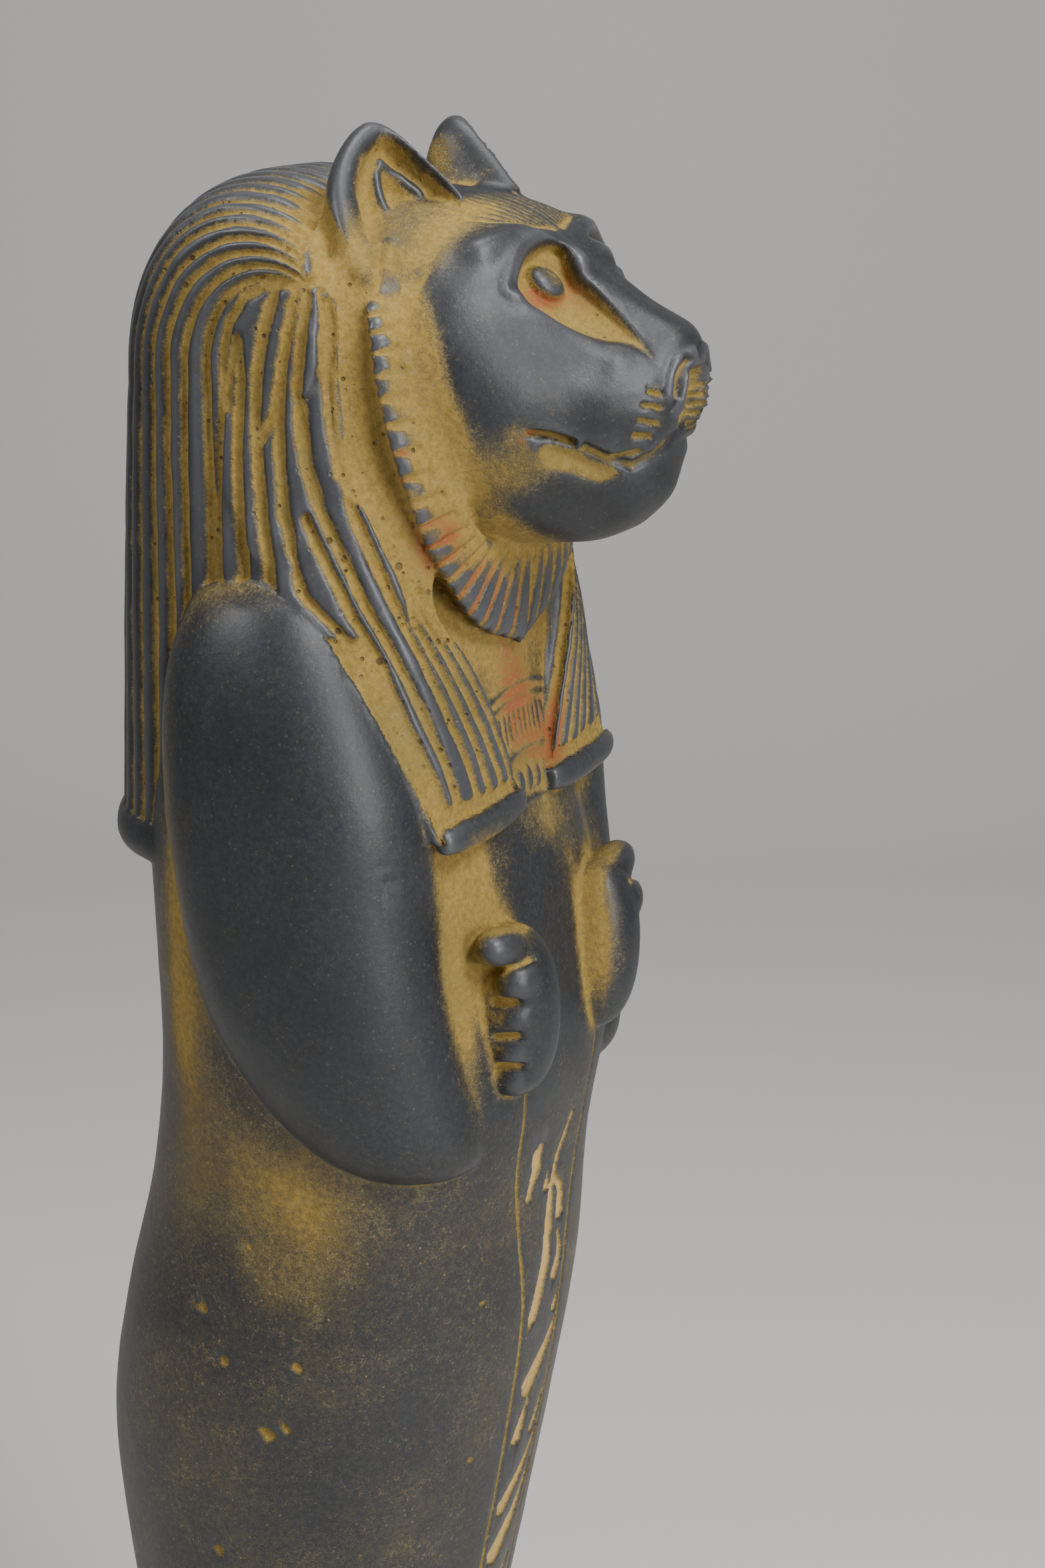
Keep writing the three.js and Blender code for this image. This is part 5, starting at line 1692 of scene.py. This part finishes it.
small_pits = bubbles(1.5, (0.3, 0.16), (0.45, 0.85), (5.0, 0.46, 0.58))
large_pits = bubbles(3.1, (0.27, 0.13), (0.3, 0.5), (6.5, 0.5, 0.58))
hole = stone.math("MAXIMUM", small_pits, large_pits)
finished = stone.blend(powder, stone_with_highlight, ochre)
# painted shade: the pits are coloured dark brown inside, as the bump can't shade them
finished = stone.blend(stone.math("MULTIPLY", hole, 0.85), finished, colour(62, 44, 18))
speck_size = stone.step(stone.cells(1.3, "Color"), 0.5, 0.62)
speck = stone.math("MULTIPLY", stone.step(stone.cells(1.3), 0.26, 0.1), speck_size)
speck = stone.math("MULTIPLY", speck, stone.step(film, 0.0, 0.6, 0.12, 0.5))
finished = stone.blend(speck, finished, colour(146, 130, 88))

# a scuff is the thin line along which a noise passes through its middle value
scuff = stone.math("ABSOLUTE", stone.math("SUBTRACT", stone.noise(3.2, 6.0, 0.7), 0.5))
scuff = stone.math("MULTIPLY", stone.step(scuff, 0.022, 0.004), stone.step(stone.noise(8.0), 0.44, 0.6))
scuff = stone.math("MULTIPLY", scuff, stone.step(film, 0.0, 0.6, 0.05, 0.5))
finished = stone.blend(scuff, finished, colour(132, 117, 78))
stone.join(stone.surface.inputs["Base Color"], finished)
print("with pits, specks and scuffs", len(stone.nodes), "nodes")

# %% [markdown]
# What tells stone from powder most is the sheen. The stone is satin and a little smoother where it is
# rubbed, and the powder is dull. Grain, crumbs and pits also tilt the surface slightly. Bump does that
# without moving a point, which is enough for relief finer than the triangles.

# %% sheen and relief
gloss = stone.step(rub_and_highlight_fact, 0.0, 1.0, 0.46, 0.36)
gloss = stone.math("ADD", gloss, stone.math("MULTIPLY", stone.math("SUBTRACT", cloud, 0.5), 0.22))
dull = stone.math("MULTIPLY", powder, 0.42)
stone.join(stone.surface.inputs["Roughness"], stone.math("ADD", gloss, dull, clamp=True))
stone.join(stone.surface.inputs["Specular IOR Level"], 0.5)

height = stone.math("MULTIPLY", grain, stone.step(powder, 0.0, 1.0, 0.35, 1.0))
first = stone.bump(height, 0.12, 0.55)
second = stone.bump(stone.math("MULTIPLY", crumb, stone.step(powder, 0.0, 1.0, 0.3, 1.0)), 0.35, 0.5, first)
third = stone.bump(stone.math("MULTIPLY", hole, -1.0), 0.5, 0.9, second)
stone.join(stone.surface.inputs["Normal"], third)
figure_mesh.materials.clear()
figure_mesh.materials.append(stone.material)
print("stone material has", len(stone.nodes), "nodes")

# %% [markdown]
# The stage is a pale sweep of paper. The floor bends up into a wall behind the figure, so that no edge
# crosses the picture, as one between a flat floor and the room would.

# %% floor
def sweep(width=3.0, depth=2.6, wall=2.0, bend=0.5):
    """Floor that curves up into a back wall, as rows of points along its profile."""
    turn = np.linspace(0, np.pi / 2, 24)
    along = np.concatenate([[-depth], bend * np.sin(turn), [bend]])
    up = np.concatenate([[0], bend * (1 - np.cos(turn)), [wall]])
    rows = np.stack([along, up], -1)
    side = np.array([-width, width])
    grid = np.stack(np.broadcast_arrays(side, rows[:, :1], rows[:, 1:]), -1)
    number = np.arange(len(rows) * 2).reshape(-1, 2)
    quads = np.stack([number[:-1, 0], number[:-1, 1], number[1:, 1], number[1:, 0]], -1)
    return grid.reshape(-1, 3), quads


# the wall stands across the line of sight, 0.9 m behind the figure before it starts to bend
floor_points, floor_quads = sweep()
back_way = SIGHT[:2] / np.linalg.norm(SIGHT[:2])
turned = np.array([[back_way[1], back_way[0]], [-back_way[0], back_way[1]]])
floor_points[:, 1] += 0.9
floor_points[:, :2] = floor_points[:, :2] @ turned.T
floor_mesh = make_mesh("paper", floor_points / MM, floor_quads)
floor_mesh.shade_smooth()
paper = Shader("paper")
paper.surface.inputs["Base Color"].default_value = (0.62, 0.61, 0.59, 1)
paper.surface.inputs["Roughness"].default_value = 0.8
floor_mesh.materials.append(paper.material)
floor = new_object("floor", floor_mesh)
print("paper has", len(floor_quads), "bands")

# %% [markdown]
# Four soft lamps stand round the figure: a high and a low one in front, a weaker one from the side and one
# overhead, in a dim room. They are squares almost as wide as the figure is tall, which draw long, soft
# highlights on the satin stone. A sun or a point lamp would leave hard spots.

# %% light
def lamp(name, place, target, size, power):
    """Square area lamp that looks at a target."""
    data = bpy.data.lights.new(name, "AREA")
    data.size = size
    data.energy = power
    made = bpy.data.objects.new(name, data)
    made.location = place
    made.rotation_euler = (Vector(target) - Vector(place)).to_track_quat("-Z", "Y").to_euler()
    bpy.context.scene.collection.objects.link(made)


# name, place and target in metres, side in metres, power in watts
LAMPS = [
    ("high front light", (-0.35, -0.75, 1.2), (0, 0, 0.4), 0.35, 13),
    ("low front light", (-0.45, -1.05, 0.5), (0, 0, 0.36), 0.4, 8),
    ("left light", (-0.7, 0.6, 1.05), (0, 0, 0.4), 0.35, 6),
    ("top light", (0, -0.05, 1.3), (0, 0, 0.38), 0.4, 6),
]
for row in LAMPS:
    lamp(*row)
room = bpy.data.worlds.new("room")
room.use_nodes = True
room.node_tree.nodes["Background"].inputs["Color"].default_value = (0.86, 0.88, 0.92, 1)
room.node_tree.nodes["Background"].inputs["Strength"].default_value = 0.1
bpy.context.scene.world = room
print("lamps", [row[0] for row in LAMPS])

# %% [markdown]
# The camera stands to the figure's right, a little above its head, where the photograph was taken from. Its
# lens and place were fitted to the outline in the photograph, which beats judging them by eye.

# %% camera
CAMERA_AT, LENS = (-0.42848, -0.22934, 0.470), 60
camera = bpy.data.objects.new("camera", bpy.data.cameras.new("camera"))
camera.data.lens = LENS
camera.data.sensor_width = 36
camera.data.clip_start = 0.01
camera.location = CAMERA_AT
camera.rotation_euler = Vector(SIGHT).to_track_quat("-Z", "Y").to_euler()
bpy.context.scene.collection.objects.link(camera)
bpy.context.scene.camera = camera
print("camera looks along", SIGHT)

# %% [markdown]
# The figure stands for the whole CAD solid and rides on its one body. The floor is only a stage.

# %% hand over
figure.name = "lioness_figure"
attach(figure, "root")
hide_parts("sekhmet_statue")
